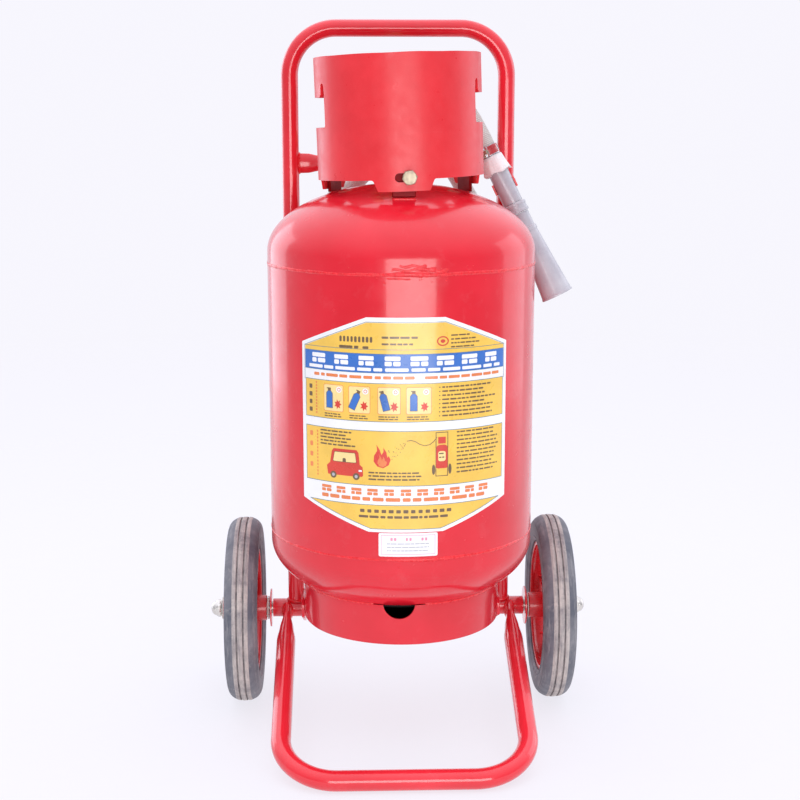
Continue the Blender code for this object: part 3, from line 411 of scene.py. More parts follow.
L_WHITE = film("label_white", (0.86, 0.86, 0.88))
L_YELLOW = film("label_yellow", (0.86, 0.54, 0.085), 0.09)
L_BLUE = film("label_blue", (0.035, 0.155, 0.52), 0.10)
L_LINE = film("label_line", (0.10, 0.20, 0.25))
L_RED = film("label_red", (0.66, 0.05, 0.03), 0.12)
L_ORANGE = film("label_orange", (0.78, 0.22, 0.07), 0.10)
L_DARK = film("label_ink", (0.16, 0.10, 0.05), 0.15)
L_PALE = film("label_pale", (0.90, 0.70, 0.30), 0.06)
L_PINK = film("label_pink", (0.78, 0.30, 0.42))
L_GREY = film("label_grey", (0.45, 0.45, 0.50))


# ------------------------------------------------------------------ mesh helpers
def mesh_object(name, verts, faces, mats, body="root", stands=(), slot=None, at=(0, DY, 0), rot=None, face_mats=None, angle=35, uvs=None, bevel=0.0, bevel_segs=2, fix=True):
    """One finished piece: a mesh from plain lists, placed, given its finish, riding on its body."""
    me = bpy.data.meshes.new(name)
    me.from_pydata([tuple(v) for v in verts], [], [tuple(f) for f in faces])
    if uvs is not None:
        layer = me.uv_layers.new(name="jacket")
        layer.data.foreach_set("uv", np.asarray(uvs, np.float32).ravel())
    if face_mats is not None:
        me.polygons.foreach_set("material_index", np.asarray(face_mats, np.int32))
    mats = mats if isinstance(mats, (list, tuple)) else [mats]
    for m in mats:
        me.materials.append(m)
    if fix:
        bm = bmesh.new()
        bm.from_mesh(me)
        bmesh.ops.remove_doubles(bm, verts=bm.verts, dist=1e-7)
        bmesh.ops.recalc_face_normals(bm, faces=bm.faces)
        bm.to_mesh(me)
        bm.free()
    return finish_object(name, me, body, stands, slot, at, rot, angle, bevel, bevel_segs)


def finish_object(name, me, body="root", stands=(), slot=None, at=(0, DY, 0), rot=None, angle=35, bevel=0.0, bevel_segs=2):
    me.polygons.foreach_set("use_smooth", [True] * len(me.polygons))
    me.set_sharp_from_angle(angle=math.radians(angle))
    me.update()
    o = bpy.data.objects.new(name, me)
    bpy.context.scene.collection.objects.link(o)
    if isinstance(rot, Matrix):
        o.matrix_world = Matrix.Translation(at) @ rot.to_4x4()
    else:
        o.location = at
        if rot is not None:
            o.rotation_euler = rot
    if bevel:
        b = o.modifiers.new("edges", "BEVEL")
        b.width = bevel
        b.segments = bevel_segs
        b.limit_method = "ANGLE"
        b.angle_limit = math.radians(40)
        b.harden_normals = True
    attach(o, body)
    if stands:
        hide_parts(*([stands] if isinstance(stands, str) else stands))
    return o


def soft_corners(pts, closed=True, steps=4):
    """2D points (x, y, radius) with each corner turned into an arc."""
    out = []
    n = len(pts)
    for i in range(n):
        x, y, r = pts[i] if len(pts[i]) == 3 else (*pts[i], 0.0)
        if r <= 0 or (not closed and i in (0, n - 1)):
            out.append((x, y))
            continue
        b = Vector((x, y))
        a, c = Vector(pts[i - 1][:2]), Vector(pts[(i + 1) % n][:2])
        u, v = (a - b), (c - b)
        lim = min(u.length, v.length) * 0.49
        u.normalize()
        v.normalize()
        half = math.acos(max(-1, min(1, u.dot(v)))) / 2
        if half > math.radians(88) or half < math.radians(2):
            out.append((x, y))
            continue
        t = min(r / math.tan(half), lim)
        rr = t * math.tan(half)
        centre = b + (u + v).normalized() * (rr / math.sin(half))
        p, q = b + u * t - centre, b + v * t - centre
        a0, a1 = math.atan2(p.y, p.x), math.atan2(q.y, q.x)
        d = (a1 - a0 + math.pi) % math.tau - math.pi
        for k in range(steps + 1):
            w = a0 + d * k / steps
            out.append((centre.x + rr * math.cos(w), centre.y + rr * math.sin(w)))
    return out


def turn(profile, segs=96, closed=True):
    """(verts, faces) of a profile (radius, height) turned about Z. Points on the axis close it."""
    verts, faces = [], []
    n = len(profile)
    for r, z in profile:
        for k in range(segs):
            a = math.tau * k / segs
            verts.append((r * math.cos(a), r * math.sin(a), z))
    for i in range(n if closed else n - 1):
        j = (i + 1) % n
        for k in range(segs):
            l = (k + 1) % segs
            faces.append((i * segs + k, i * segs + l, j * segs + l, j * segs + k))
    return verts, faces


def clean_faces(verts, faces):
    """Faces whose corners have met on the axis keep only their separate corners."""
    key = {}
    index = []
    kept = []
    for v in verts:
        q = (round(v[0], 8), round(v[1], 8), round(v[2], 8))
        if q not in key:
            key[q] = len(kept)
            kept.append(v)
        index.append(key[q])
    out = []
    for f in faces:
        g = []
        for i in f:
            j = index[i]
            if not g or (g[-1] != j and g[0] != j):
                g.append(j)
        if len(g) > 2:
            out.append(tuple(g))
    return kept, out


def turned(name, profile, material, segs=96, closed=True, rounding=None, **kw):
    pts = soft_corners([(*p, rounding) if len(p) == 2 else p for p in profile], closed) if rounding is not None else [p[:2] for p in profile]
    v, f = clean_faces(*turn(pts, segs, closed))
    return mesh_object(name, v, f, material, **kw)


def frames_along(pts, closed=False):
    """Tangents and a twist-free pair of normals at each point."""
    n = len(pts)
    tans = []
    for i in range(n):
        a = pts[(i - 1) % n] if closed else pts[max(i - 1, 0)]
        b = pts[(i + 1) % n] if closed else pts[min(i + 1, n - 1)]
        tans.append((b - a).normalized())
    ref = Vector((0, 0, 1)) if abs(tans[0].z) < 0.9 else Vector((1, 0, 0))
    s = (ref - tans[0] * ref.dot(tans[0])).normalized()
    out = []
    for i, t in enumerate(tans):
        if i:
            q = tans[i - 1].rotation_difference(t)
            s = q @ s
            s = (s - t * s.dot(t)).normalized()
        out.append((t, s, t.cross(s)))
    return out


def tube(pts, radius, around=16, closed=False, caps=True, shape=None, uv=None):
    """(verts, faces, uvs) of a tube along pts. radius is a number, a list, or (a, b) pairs; shape(i, k) scales each point."""
    fr = frames_along(pts, closed)
    verts, faces, uvs = [], [], []
    n = len(pts)
    run = [0.0]
    for a, b in zip(pts, pts[1:]):
        run.append(run[-1] + (b - a).length)
    if closed:
        run.append(run[-1] + (pts[0] - pts[-1]).length)
    for i, (p, (t, s, h)) in enumerate(zip(pts, fr)):
        r = radius[i] if isinstance(radius, (list, tuple)) else radius
        ra, rb = r if isinstance(r, (list, tuple)) else (r, r)
        for k in range(around):
            a = math.tau * k / around
            w = shape(i, k) if shape else 1.0
            verts.append(p + s * (ra * w * math.cos(a)) + h * (rb * w * math.sin(a)))
    for i in range(n if closed else n - 1):
        j = (i + 1) % n
        for k in range(around):
            l = (k + 1) % around
            faces.append((i * around + k, i * around + l, j * around + l, j * around + k))
            if uv:
                for ii, kk in ((i, k), (i, k + 1), (i + 1, k + 1), (i + 1, k)):
                    uvs.append((run[ii] / uv, kk / around))
    if caps and not closed:
        faces.append(tuple(range(around))[::-1])
        faces.append(tuple((n - 1) * around + k for k in range(around)))
        if uv:
            uvs += [(0.0, 0.0)] * (2 * around)
    return verts, faces, uvs if uv else None


def catmull(ctrl, step=0.01):
    c = [Vector(p) for p in ctrl]
    c = [c[0] * 2 - c[1]] + c + [c[-1] * 2 - c[-2]]
    out = []
    for i in range(1, len(c) - 2):
        p0, p1, p2, p3 = c[i - 1 : i + 3]
        n = max(2, round((p2 - p1).length / step))
        for k in range(n):
            t = k / n
            out.append(0.5 * (2 * p1 + (p2 - p0) * t + (2 * p0 - 5 * p1 + 4 * p2 - p3) * t * t + (3 * p1 - p0 - 3 * p2 + p3) * t**3))
    out.append(c[-2])
    return out


def bends(pts, radius, steps=24):
    """A polyline with its inner corners turned into arcs."""
    pts = [Vector(p) for p in pts]
    out = [pts[0]]
    for a, b, c in zip(pts, pts[1:], pts[2:]):
        u, v = (a - b).normalized(), (c - b).normalized()
        half = u.angle(v) / 2
        t = radius / math.tan(half)
        centre = b + (u + v).normalized() * (radius / math.sin(half))
        p, q = b + u * t - centre, b + v * t - centre
        total = p.angle(q)
        axis = p.cross(q).normalized()
        for i in range(steps + 1):
            out.append(centre + Matrix.Rotation(total * i / steps, 3, axis) @ p)
    out.append(pts[-1])
    return out


def resample(pts, step):
    """Points at even spacing along a polyline."""
    pts = [Vector(p) for p in pts]
    run = [0.0]
    for a, b in zip(pts, pts[1:]):
        run.append(run[-1] + (b - a).length)
    n = max(2, round(run[-1] / step))
    out, j = [], 0
    for i in range(n + 1):
        s = run[-1] * i / n
        while j < len(run) - 2 and run[j + 1] < s:
            j += 1
        t = (s - run[j]) / max(run[j + 1] - run[j], 1e-12)
        out.append(pts[j].lerp(pts[j + 1], min(1.0, max(0.0, t))))
    return out


def bead(name, pts, radius, closed=False, pitch=0.0022, seed=1, rough=0.22, wander=0.0, material=None, around=10, body="root", at=(0, DY, 0), step=0.0007, lumps=None):
    """A painted weld: overlapping ripples, uneven in width, that wanders a little off its line."""
    pts = resample(list(pts) + ([pts[0]] if closed else []), step)
    if closed:
        pts = pts[:-1]
    n = len(pts)
    total = n * step
    rad = []
    moved = []
    for i, p in enumerate(pts):
        s = i * step
        cyc = 1.0 - abs(((s / pitch) % 1.0) * 2 - 1.0)
        nz = noise.noise(Vector((p.x * 90 + seed * 7.1, p.y * 90, p.z * 90)))
        nz2 = noise.noise(Vector((p.x * 25 + seed * 3.3, p.y * 25, p.z * 25 + 5)))
        big = lumps(p) if lumps else 0.0
        r = radius * (0.94 + 0.08 * math.sqrt(cyc) + 0.6 * rough * nz + 0.16 * nz2 + big)
        if not closed:
            end = min(s, total - s)
            r *= min(1.0, 0.35 + end / (2.5 * radius))
        rad.append(r)
        w = wander * (1.0 + 2.5 * big)
        moved.append(p + Vector((0, 0, w * nz2 * 2)) if wander else p)
    v, f, _ = tube(moved, rad, around, closed)
    return mesh_object(name, v, f, material or WELD_LIT, body=body, at=at, angle=60, slot="red_paint")


def ring_points(cx, cy, cz, r, axis="Z", n=64, a0=0.0, a1=math.tau):
    out = []
    full = abs(a1 - a0 - math.tau) < 1e-6
    for i in range(n if full else n + 1):
        a = a0 + (a1 - a0) * i / n
        c, s = r * math.cos(a), r * math.sin(a)
        out.append(Vector({"Z": (cx + c, cy + s, cz), "X": (cx, cy + c, cz + s), "Y": (cx + c, cy, cz + s)}[axis]))
    return out


def flat_fill(loops):
    """A flat mesh in XY from outlines; an outline inside another is a hole."""
    cu = bpy.data.curves.new("fill", "CURVE")
    cu.dimensions = "2D"
    cu.fill_mode = "BOTH"
    for pts in loops:
        sp = cu.splines.new("POLY")
        sp.points.add(len(pts) - 1)
        for p, (x, y) in zip(sp.points, pts):
            p.co = (x, y, 0, 1)
        sp.use_cyclic_u = True
    o = bpy.data.objects.new("fill", cu)
    bpy.context.scene.collection.objects.link(o)
    g = bpy.context.evaluated_depsgraph_get()
    me = bpy.data.meshes.new_from_object(o.evaluated_get(g))
    bpy.data.objects.remove(o, do_unlink=True)
    bpy.data.curves.remove(cu)
    bm = bmesh.new()
    bm.from_mesh(me)
    bpy.data.meshes.remove(me)
    bmesh.ops.remove_doubles(bm, verts=bm.verts, dist=1e-7)
    return bm


def rolled(name, loops, radius, thick, material, step=0.0044, zstep=None, lean=None, bevel=0.0, **kw):
    """A flat blank (distance round, height) rolled about Z with 0 at the front, then given its thickness inwards."""
    bm = flat_fill(loops)
    xs = [v.co.x for v in bm.verts]
    zs = [v.co.y for v in bm.verts]
    for lo, hi, st, axis in ((min(xs), max(xs), step, 0), (min(zs), max(zs), zstep, 1)):
        if not st:
            continue
        k = math.ceil(lo / st + 0.02)
        while k * st < hi - 0.02 * st:
            co = Vector((k * st, 0, 0)) if axis == 0 else Vector((0, k * st, 0))
            no = Vector((1, 0, 0)) if axis == 0 else Vector((0, 1, 0))
            bmesh.ops.bisect_plane(bm, geom=bm.verts[:] + bm.edges[:] + bm.faces[:], dist=1e-6, plane_co=co, plane_no=no)
            k += 1
    for v in bm.verts:
        a = v.co.x / radius
        v.co = Vector((radius * math.sin(a), -radius * math.cos(a), v.co.y))
    bmesh.ops.remove_doubles(bm, verts=bm.verts, dist=2e-6)
    bm.normal_update()
    out = 0.0
    for f in bm.faces:
        c = f.calc_center_median()
        out += f.normal.dot(Vector((c.x, c.y, 0)).normalized()) * f.calc_area()
    if out < 0:
        bmesh.ops.reverse_faces(bm, faces=bm.faces)
    if thick:
        for v in bm.verts:
            v.normal_update()
        top = bm.faces[:]
        dup = bmesh.ops.duplicate(bm, geom=bm.verts[:] + bm.edges[:] + top)
        twin = dup["vert_map"]
        inner = [g for g in dup["geom"] if isinstance(g, bmesh.types.BMFace)]
        pairs = {v: twin[v] for v in list(twin.keys()) if isinstance(v, bmesh.types.BMVert)}
        originals = {v for f in top for v in f.verts}
        for v in originals:
            w = pairs[v]
            q = Vector((v.co.x, v.co.y, 0)).normalized()
            w.co = v.co - q * thick
        for e in [e for e in bm.edges if len(e.link_faces) == 1 and e.verts[0] in originals and e.verts[1] in originals]:
            a, b = e.verts
            bm.faces.new((a, b, pairs[b], pairs[a]))
        bmesh.ops.reverse_faces(bm, faces=inner)
        bmesh.ops.recalc_face_normals(bm, faces=bm.faces)
    if lean is not None:
        bmesh.ops.transform(bm, matrix=lean, verts=bm.verts)
    me = bpy.data.meshes.new(name)
    bm.to_mesh(me)
    bm.free()
    me.materials.append(material)
    return finish_object(name, me, bevel=bevel, **kw)


def joined(name, groups, mats, **kw):
    """Several (verts, faces, material index) made one piece."""
    verts, faces, fm = [], [], []
    for v, f, m in groups:
        base = len(verts)
        verts += list(v)
        faces += [tuple(i + base for i in g) for g in f]
        fm += [m] * len(f)
    me = bpy.data.meshes.new(name)
    me.from_pydata([tuple(v) for v in verts], [], faces)
    me.polygons.foreach_set("material_index", np.asarray(fm, np.int32))
    for m in mats if isinstance(mats, (list, tuple)) else [mats]:
        me.materials.append(m)
    bm = bmesh.new()
    bm.from_mesh(me)
    bmesh.ops.remove_doubles(bm, verts=bm.verts, dist=1e-7)
    bmesh.ops.recalc_face_normals(bm, faces=bm.faces)
    bm.to_mesh(me)
    bm.free()
    return finish_object(name, me, **kw)


def moved(v, matrix):
    return [matrix @ Vector(p) for p in v]


def block(size, bevel=0.0, segs=2):
    """(verts, faces) of a bevelled block."""
    bm = bmesh.new()
    bmesh.ops.create_cube(bm, size=1.0)
    bmesh.ops.transform(bm, matrix=Matrix.Diagonal((*size, 1)), verts=bm.verts)
    if bevel:
        bmesh.ops.bevel(bm, geom=bm.edges[:], offset=bevel, segments=segs, affect="EDGES", profile=0.5)
    bm.verts.index_update()
    v = [p.co.copy() for p in bm.verts]
    f = [tuple(p.index for p in g.verts) for g in bm.faces]
    bm.free()
    return v, f


def hex_head(flats_r, height, chamfer, domed=0.0):
    """(verts, faces) of a hexagon, corner radius flats_r, with both ends turned to a chamfer."""
    verts, faces = [], []
    inner = flats_r * math.cos(math.pi / 6)
    levels = [(0.0, inner * 0.97, True), (chamfer * 0.6, None, False), (height - chamfer, None, False), (height, inner * 0.96, True), (height + domed, inner * 0.55, True)]
    n = 72
    for z, r, rnd in levels:
        for k in range(n):
            a = math.tau * k / n
            sect = (a % (math.pi / 3)) - math.pi / 6
            hexr = inner / math.cos(sect)
            rr = r if rnd else hexr
            zz = z
            if not rnd:
                over = (hexr - inner) / (flats_r - inner)
                zz = z + (0.6 * chamfer * over if z < height / 2 else -chamfer * 0.8 * over)
            verts.append(Vector((rr * math.cos(a), rr * math.sin(a), zz)))
    for i in range(len(levels) - 1):
        for k in range(n):
            l = (k + 1) % n
            faces.append((i * n + k, i * n + l, (i + 1) * n + l, (i + 1) * n + k))
    faces.append(tuple(range(n))[::-1])
    faces.append(tuple((len(levels) - 1) * n + k for k in range(n)))
    return verts, faces


def refine(node, material, bevel=0.0004, angle=34, slot=None, body=None, name=None):
    """A CAD node's own shape with smoothed turns and softened edges."""
    src = NODES[node]
    bm = bmesh.new()
    bm.from_mesh(src.data)
    bmesh.ops.remove_doubles(bm, verts=bm.verts, dist=1e-6)
    bmesh.ops.dissolve_limit(bm, angle_limit=math.radians(0.4), verts=bm.verts, edges=bm.edges)
    me = bpy.data.meshes.new("v_" + node)
    bm.to_mesh(me)
    bm.free()
    me.materials.append(material)
    return finish_object(name or "v_" + node, me, body=body or src["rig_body"], stands=node, slot=slot, at=(0, 0, 0), angle=angle, bevel=bevel)


def head(r, a, b):
    return b * math.sqrt(max(0.0, 1 - (r / a) ** 2))


def arc_r(a, r0, n):
    t0 = math.acos(r0 / a)
    return [a * math.cos(t0 * (1 - i / n)) for i in range(n + 1)]


# ------------------------------------------------------------------ the hose, from the swivel to inside the nozzle's tail
lead_in = catmull([(0, 0.1282, OUTLET_Z), (0, 0.1620, OUTLET_Z - 0.001), (-0.016, 0.1860, 0.7400), (-0.060, 0.1960, 0.6960), (-0.115, 0.1920, 0.6310), (-0.146, 0.1880, 0.5650), (-0.1525, 0.1872, 0.5275)], 0.006)
lead_out = catmull([(0.1525, 0.2105, 0.5275), (0.146, 0.2085, 0.5700), (0.119, 0.2010, 0.6450), (0.077, 0.1880, 0.7180), (0.043, 0.1660, 0.7790), (0.037, 0.1330, 0.8180), (0.0600, 0.1085, 0.8230), (0.0870, 0.0960, 0.7960), NOZ_A - NOZ_U * 0.0260, NOZ_A - NOZ_U * 0.0088], 0.006)


def ease(x):
    x = max(0.0, min(1.0, x))
    return x * x * (3 - 2 * x)


coil = []
for i in range(0, 1261, 5):
    th = 180.0 + i
    r = 0.1522
    r -= 0.0242 * ease((th - 435) / 90)
    r += 0.0242 * ease((th - 1165) / 85)
    y = 0.1872 + 0.0236 * ease((th - 800) / 90)
    a = math.radians(th)
    coil.append(Vector((r * math.cos(a), y, COIL_Z + r * math.sin(a))))
join_in = [Vector((-0.1524, 0.1872, 0.5275 - 0.0935 * t)) for t in (0.2, 0.4, 0.6, 0.8)]
join_out = [Vector((0.1524, 0.2106, 0.434 + 0.0935 * t)) for t in (0.2, 0.4, 0.6, 0.8)]
tail = [NOZ_A + NOZ_U * s for s in (-0.002, 0.006, 0.016, 0.028, 0.042, 0.056, 0.070)]
route = resample(lead_in + join_in + coil + join_out + lead_out + tail, 0.0055)


def hose_shape(i, k):
    p = route[i]
    return 1.0 + 0.012 * noise.noise(p * 60.0) + 0.004 * math.cos(math.pi * k)


hv, hf, hu = tube(route, HOSE_R - 0.0002, 28, uv=math.tau * HOSE_R, shape=hose_shape)
hose = mesh_object("hose", hv, hf, CANVAS, stands=("hose_lead_in", "hose_coil", "hose_lead_out"), slot="hose_canvas", uvs=hu, angle=70, fix=False)

# ------------------------------------------------------------------ nozzle, clamp and the jacket's end
NQ = NOZ_U.to_track_quat("Z", "Y").to_matrix()


def on_nozzle(name, profile, material, segs=72, rounding=0.0004, **kw):
    at = NOZ_A + Vector((0, DY, 0))
    return turned(name, profile, material, segs, True, rounding, at=at, rot=NQ, **kw)


nozzle_tail = on_nozzle("nozzle_tail_piece", [(0.0095, -0.0078), (0.0118, -0.0078), (0.0120, 0.0060), (0.0131, 0.0090), (0.0131, 0.0735), (0.0095, 0.0735)], NOZZLE, stands="nozzle_tail", slot="nozzle_plastic")
union_prof = [(0.0095, 0.0740), (0.0146, 0.0740, 0.0008), (0.0156, 0.0752, 0.0006), (0.0156, 0.0778, 0.0006), (0.0148, 0.0786), (0.0148, 0.0838), (0.0156, 0.0846, 0.0006), (0.0156, 0.0872, 0.0006), (0.0146, 0.0880, 0.0008), (0.0095, 0.0880)]
nozzle_union = on_nozzle("nozzle_union_piece", union_prof, NOZZLE, stands="nozzle_union", slot="nozzle_plastic")
barrel_prof = [(0.0095, 0.0885), (0.0134, 0.0885, 0.0006), (0.0134, 0.1083), (0.0150, 0.1092, 0.0007), (0.0150, 0.1143, 0.0007), (0.0141, 0.1152), (0.0146, 0.1200), (0.0150, 0.1250)]
for i in range(1, 9):
    t = i / 8
    barrel_prof.append((0.0150 + 0.0052 * (t ** 1.12), 0.1250 + 0.0765 * t))
barrel_prof += [(0.0210, 0.2030, 0.0008), (0.0211, 0.2053, 0.0006), (0.0190, 0.2053, 0.0006)]
for i in range(1, 9):
    t = 1 - i / 8
    barrel_prof.append((0.0124 + 0.0060 * t, 0.1230 + 0.0800 * t))
barrel_prof += [(0.0095, 0.1080)]
nozzle_barrel = on_nozzle("nozzle_barrel_piece", barrel_prof, NOZZLE, segs=96, stands="nozzle_barrel", slot="nozzle_plastic")

# the jacket, cut back past the clamp and flared, its edge uneven with loose yarn
rng = random.Random(7)
jp = [(0.0137, 0.0070), (0.0147, 0.0078), (0.0152, 0.0110), (0.0158, 0.0160), (0.0168, 0.0220), (0.0178, 0.0270), (0.0182, 0.0292), (0.0172, 0.0296), (0.0162, 0.0240), (0.0148, 0.0170), (0.0137, 0.0120)]
jv, jf = turn(jp, 120, True)
jv2 = []
for i, p in enumerate(jv):
    ring, k = divmod(i, 120)
    a = math.tau * k / 120
    out = max(0.0, (jp[ring][1] - 0.009) / 0.020)
    fold = 1.0 + out * (0.045 * math.sin(3 * a + 0.8) + 0.030 * math.sin(7 * a + 2.0) + 0.018 * noise.noise(Vector((p[0] * 400, p[1] * 400, 1))))
    dz = out * out * (0.0013 * math.sin(5 * a + 1.0) + 0.0012 * noise.noise(Vector((p[0] * 300, p[1] * 300, 4))))
    jv2.append((p[0] * fold, p[1] * fold, p[2] + dz))
yarn = []
for i in range(34):
    a = rng.uniform(0, math.tau)
    r0 = 0.0174 + rng.uniform(-0.0006, 0.0006)
    ln = rng.uniform(0.0010, 0.0034)
    c, s = math.cos(a), math.sin(a)
    base = Vector((r0 * c, r0 * s, 0.0284))
    bend = Vector((c, s, 0)) * rng.uniform(-0.3, 0.9) + Vector((-s, c, 0)) * rng.uniform(-0.7, 0.7)
    pts = [base + Vector((0, 0, ln * t)) + bend * (ln * t * t) for t in (0, 0.35, 0.7, 1.0)]
    yv, yf, _ = tube(pts, [0.00028, 0.00026, 0.00022, 0.00010], 5)
    yarn.append((yv, yf, 0))
jacket = joined("hose_jacket_piece", [(jv2, jf, 0)] + yarn, JACKET, stands="hose_jacket_end", slot="hose_canvas", at=NOZ_A + Vector((0, DY, 0)), rot=NQ, angle=60)

# worm-drive clamp: slotted band, its free end, the housing and the hexagon screw
band_prof = soft_corners([(0.0128, 0.0062, 0.0004), (0.0137, 0.0062, 0.0004), (0.0137, -0.0062, 0.0004), (0.0128, -0.0062, 0.0004)], True, 3)
clamp_parts = [(*turn(band_prof, 96, True), 0)]
for side in (-1, 1):
    rib = soft_corners([(0.0135, side * 0.0062, 0.0002), (0.0141, side * 0.0062, 0.0002), (0.0141, side * 0.0054, 0.0002), (0.0135, side * 0.0054, 0.0002)], True, 2)
    clamp_parts.append((*turn(rib, 96, True), 0))
side_dir = (Vector((-0.6, -0.8, 0)) - NOZ_U * Vector((-0.6, -0.8, 0)).dot(NOZ_U)).normalized()
local = NQ.transposed() @ side_dir
HOUSE_A = math.atan2(local.y, local.x)
for k in range(52):
    a = HOUSE_A + math.tau * (k + 0.5) / 52
    v, f = block((0.0005, 0.0008, 0.0068), 0.00015, 1)
    m = Matrix.Rotation(a, 4, "Z") @ Matrix.Translation((0.01375, 0, 0)) @ Matrix.Rotation(math.radians(14), 4, "X")
    clamp_parts.append((moved(v, m), f, 0))
hm = Matrix.Rotation(HOUSE_A, 4, "Z") @ Matrix.Translation((0.0160, 0, 0))
v, f = block((0.0050, 0.0100, 0.0132), 0.0010, 3)
clamp_parts.append((moved(v, hm), f, 0))
v, f = block((0.0016, 0.0150, 0.0128), 0.0004, 2)
clamp_parts.append((moved(v, Matrix.Rotation(HOUSE_A, 4, "Z") @ Matrix.Translation((0.0143, 0, 0))), f, 0))
sv, sf = turn(soft_corners([(0, -0.0068), (0.0030, -0.0068, 0.0004), (0.0030, 0.0078, 0.0002), (0, 0.0078)], True, 3), 28, True)
sm = Matrix.Rotation(HOUSE_A, 4, "Z") @ Matrix.Translation((0.0172, 0, 0)) @ Matrix.Rotation(math.pi / 2, 4, "X")
clamp_parts.append((moved(sv, sm), sf, 1))
v, f = hex_head(0.0044, 0.0034, 0.0006, 0.0003)
clamp_parts.append((moved(v, sm @ Matrix.Translation((0, 0, -0.0096))), f, 1))
v, f = block((0.0009, 0.0068, 0.0012), 0.0001, 1)
clamp_parts.append((moved(v, sm @ Matrix.Translation((0, 0, -0.0098))), f, 2))
tailpts = []
for i in range(12):
    a = HOUSE_A - 0.45 - 0.06 * i
    rr = 0.0146 + 0.00016 * i * i * 0.35
    tailpts.append(Vector((rr * math.cos(a), rr * math.sin(a), 0)))
tv, tf, _ = tube(tailpts, [(0.0004, 0.0057)] * 12, 12)
fr = frames_along(tailpts)
tv = []
for p, (t, s, h) in zip(tailpts, fr):
    rad = Vector((p.x, p.y, 0)).normalized()
    for a, b in ((0.00035, 0.0057), (0.00035, -0.0057), (-0.00035, -0.0057), (-0.00035, 0.0057)):
        tv.append(p + rad * a + Vector((0, 0, b)))
tf = []
for i in range(11):
    for k in range(4):
        tf.append((i * 4 + k, i * 4 + (k + 1) % 4, (i + 1) * 4 + (k + 1) % 4, (i + 1) * 4 + k))
tf += [(3, 2, 1, 0), (44, 45, 46, 47)]
clamp_parts.append((tv, tf, 0))
clamp = joined("hose_clamp_piece", clamp_parts, [STEEL, BOLT, BLACK], stands="hose_clamp", slot="bright_steel", at=NOZ_A + Vector((0, DY, 0)), rot=NQ, angle=32)

# ------------------------------------------------------------------ pressure vessel
RI, HI, NECK_R = R - WALL, HEAD_H - WALL, 0.0305
top_out = [(r, Z_TOP_TAN + head(r, R, HEAD_H)) for r in arc_r(R, NECK_R, 44)]
top_in = [(r, Z_TOP_TAN + head(r, RI, HI)) for r in arc_r(RI, NECK_R, 16)][::-1]
turned("vessel_top", top_out + [(R, 0.6190), (R, Z_TOP_SEAM + 0.0002), (RI, Z_TOP_SEAM + 0.0002)] + top_in, RED, 192, stands="vessel_top_head", slot="red_paint")
wall = [(R, Z_TOP_SEAM - 0.0002 - (Z_TOP_SEAM - Z_BOT_SEAM - 0.0004) * i / 24) for i in range(25)]
turned("vessel_wall", wall + [(RI, Z_BOT_SEAM + 0.0002), (RI, Z_TOP_SEAM - 0.0002)], RED, 192, stands="vessel_body", slot="red_paint")
bot_out = [(r, Z_BOT_TAN - head(r, R, HEAD_H)) for r in arc_r(R, 0.0, 44)][::-1]
bot_in = [(r, Z_BOT_TAN - head(r, RI, HI)) for r in arc_r(RI, 0.0, 16)]
turned("vessel_bottom", [(R, Z_BOT_SEAM - 0.0002)] + bot_out[:-1] + [(0, Z_BOT_TAN - HEAD_H), (0, Z_BOT_TAN - HI)] + bot_in[1:] + [(RI, Z_BOT_SEAM - 0.0002)], RED, 192, stands="vessel_bottom_head", slot="red_paint")


def shade_inside_faces(obj, where):
    """Faces inside the hollow are given a near-black finish, as painted shade."""
    obj.data.materials.append(SHADE_BLACK)
    k = len(obj.data.materials) - 1
    for f in obj.data.polygons:
        if where(f.center):
            f.material_index = k


# the vessel's underside within the skirt: near-black painted shade
shade_inside_faces(bpy.data.objects["vessel_bottom"], lambda c: math.hypot(c.x, c.y) < 0.1222 and c.z < Z_BOT_TAN)


def overlap_lump(a0, a1, amount):
    """More metal where a run of weld starts over its own end, between two angles measured from the front."""

    def f(p):
        a = math.degrees(math.atan2(p.x, -p.y))
        if a < a0 or a > a1:
            return 0.0
        w = math.sin(math.pi * (a - a0) / (a1 - a0))
        return amount * w * (1.0 + 0.9 * noise.noise(Vector((a * 0.9, 3.0, 1.0))))

    return f


bead("weld_top_seam", ring_points(0, 0, Z_TOP_SEAM, R - 0.0020, n=360), 0.0028, closed=True, seed=3, wander=0.0004, lumps=overlap_lump(-9, 18, 0.22))
bead("weld_bottom_seam", ring_points(0, 0, Z_BOT_SEAM, R - 0.0020, n=360), 0.0027, closed=True, seed=5, wander=0.0004, lumps=overlap_lump(-4, 22, 0.15))

# short second runs and spatter beside the overlap of the upper seam
rng = random.Random(21)
spatter = []
for i in range(46):
    seam = Z_TOP_SEAM if i < 32 else Z_BOT_SEAM
    a = math.radians(rng.gauss(4, 13))
    z = seam + rng.gauss(0.0005, 0.0050)
    rad = rng.uniform(0.0004, 0.0010)
    p = Vector((R * math.sin(a), -R * math.cos(a), z))
    bm = bmesh.new()
    bmesh.ops.create_icosphere(bm, subdivisions=2, radius=1.0)
    sc = Matrix.Diagonal((rad * rng.uniform(0.9, 1.8), rad * 0.55, rad * rng.uniform(0.7, 1.2), 1))
    bmesh.ops.transform(bm, matrix=Matrix.Translation(p) @ Matrix.Rotation(a, 4, "Z") @ sc, verts=bm.verts)
    bm.verts.index_update()
    spatter.append(([q.co.copy() for q in bm.verts], [tuple(q.index for q in g.verts) for g in bm.faces], 0))
    bm.free()
joined("weld_spatter", spatter, WELD_LIT, slot="red_paint", angle=80)
run_pts = [Vector(((R - 0.0008) * math.sin(math.radians(a)), -(R - 0.0008) * math.cos(math.radians(a)), Z_TOP_SEAM - 0.0042 - 0.00008 * (a + 6))) for a in range(-8, 3)]
bead("weld_second_run", run_pts, 0.0013, seed=9, rough=0.35, wander=0.0003)
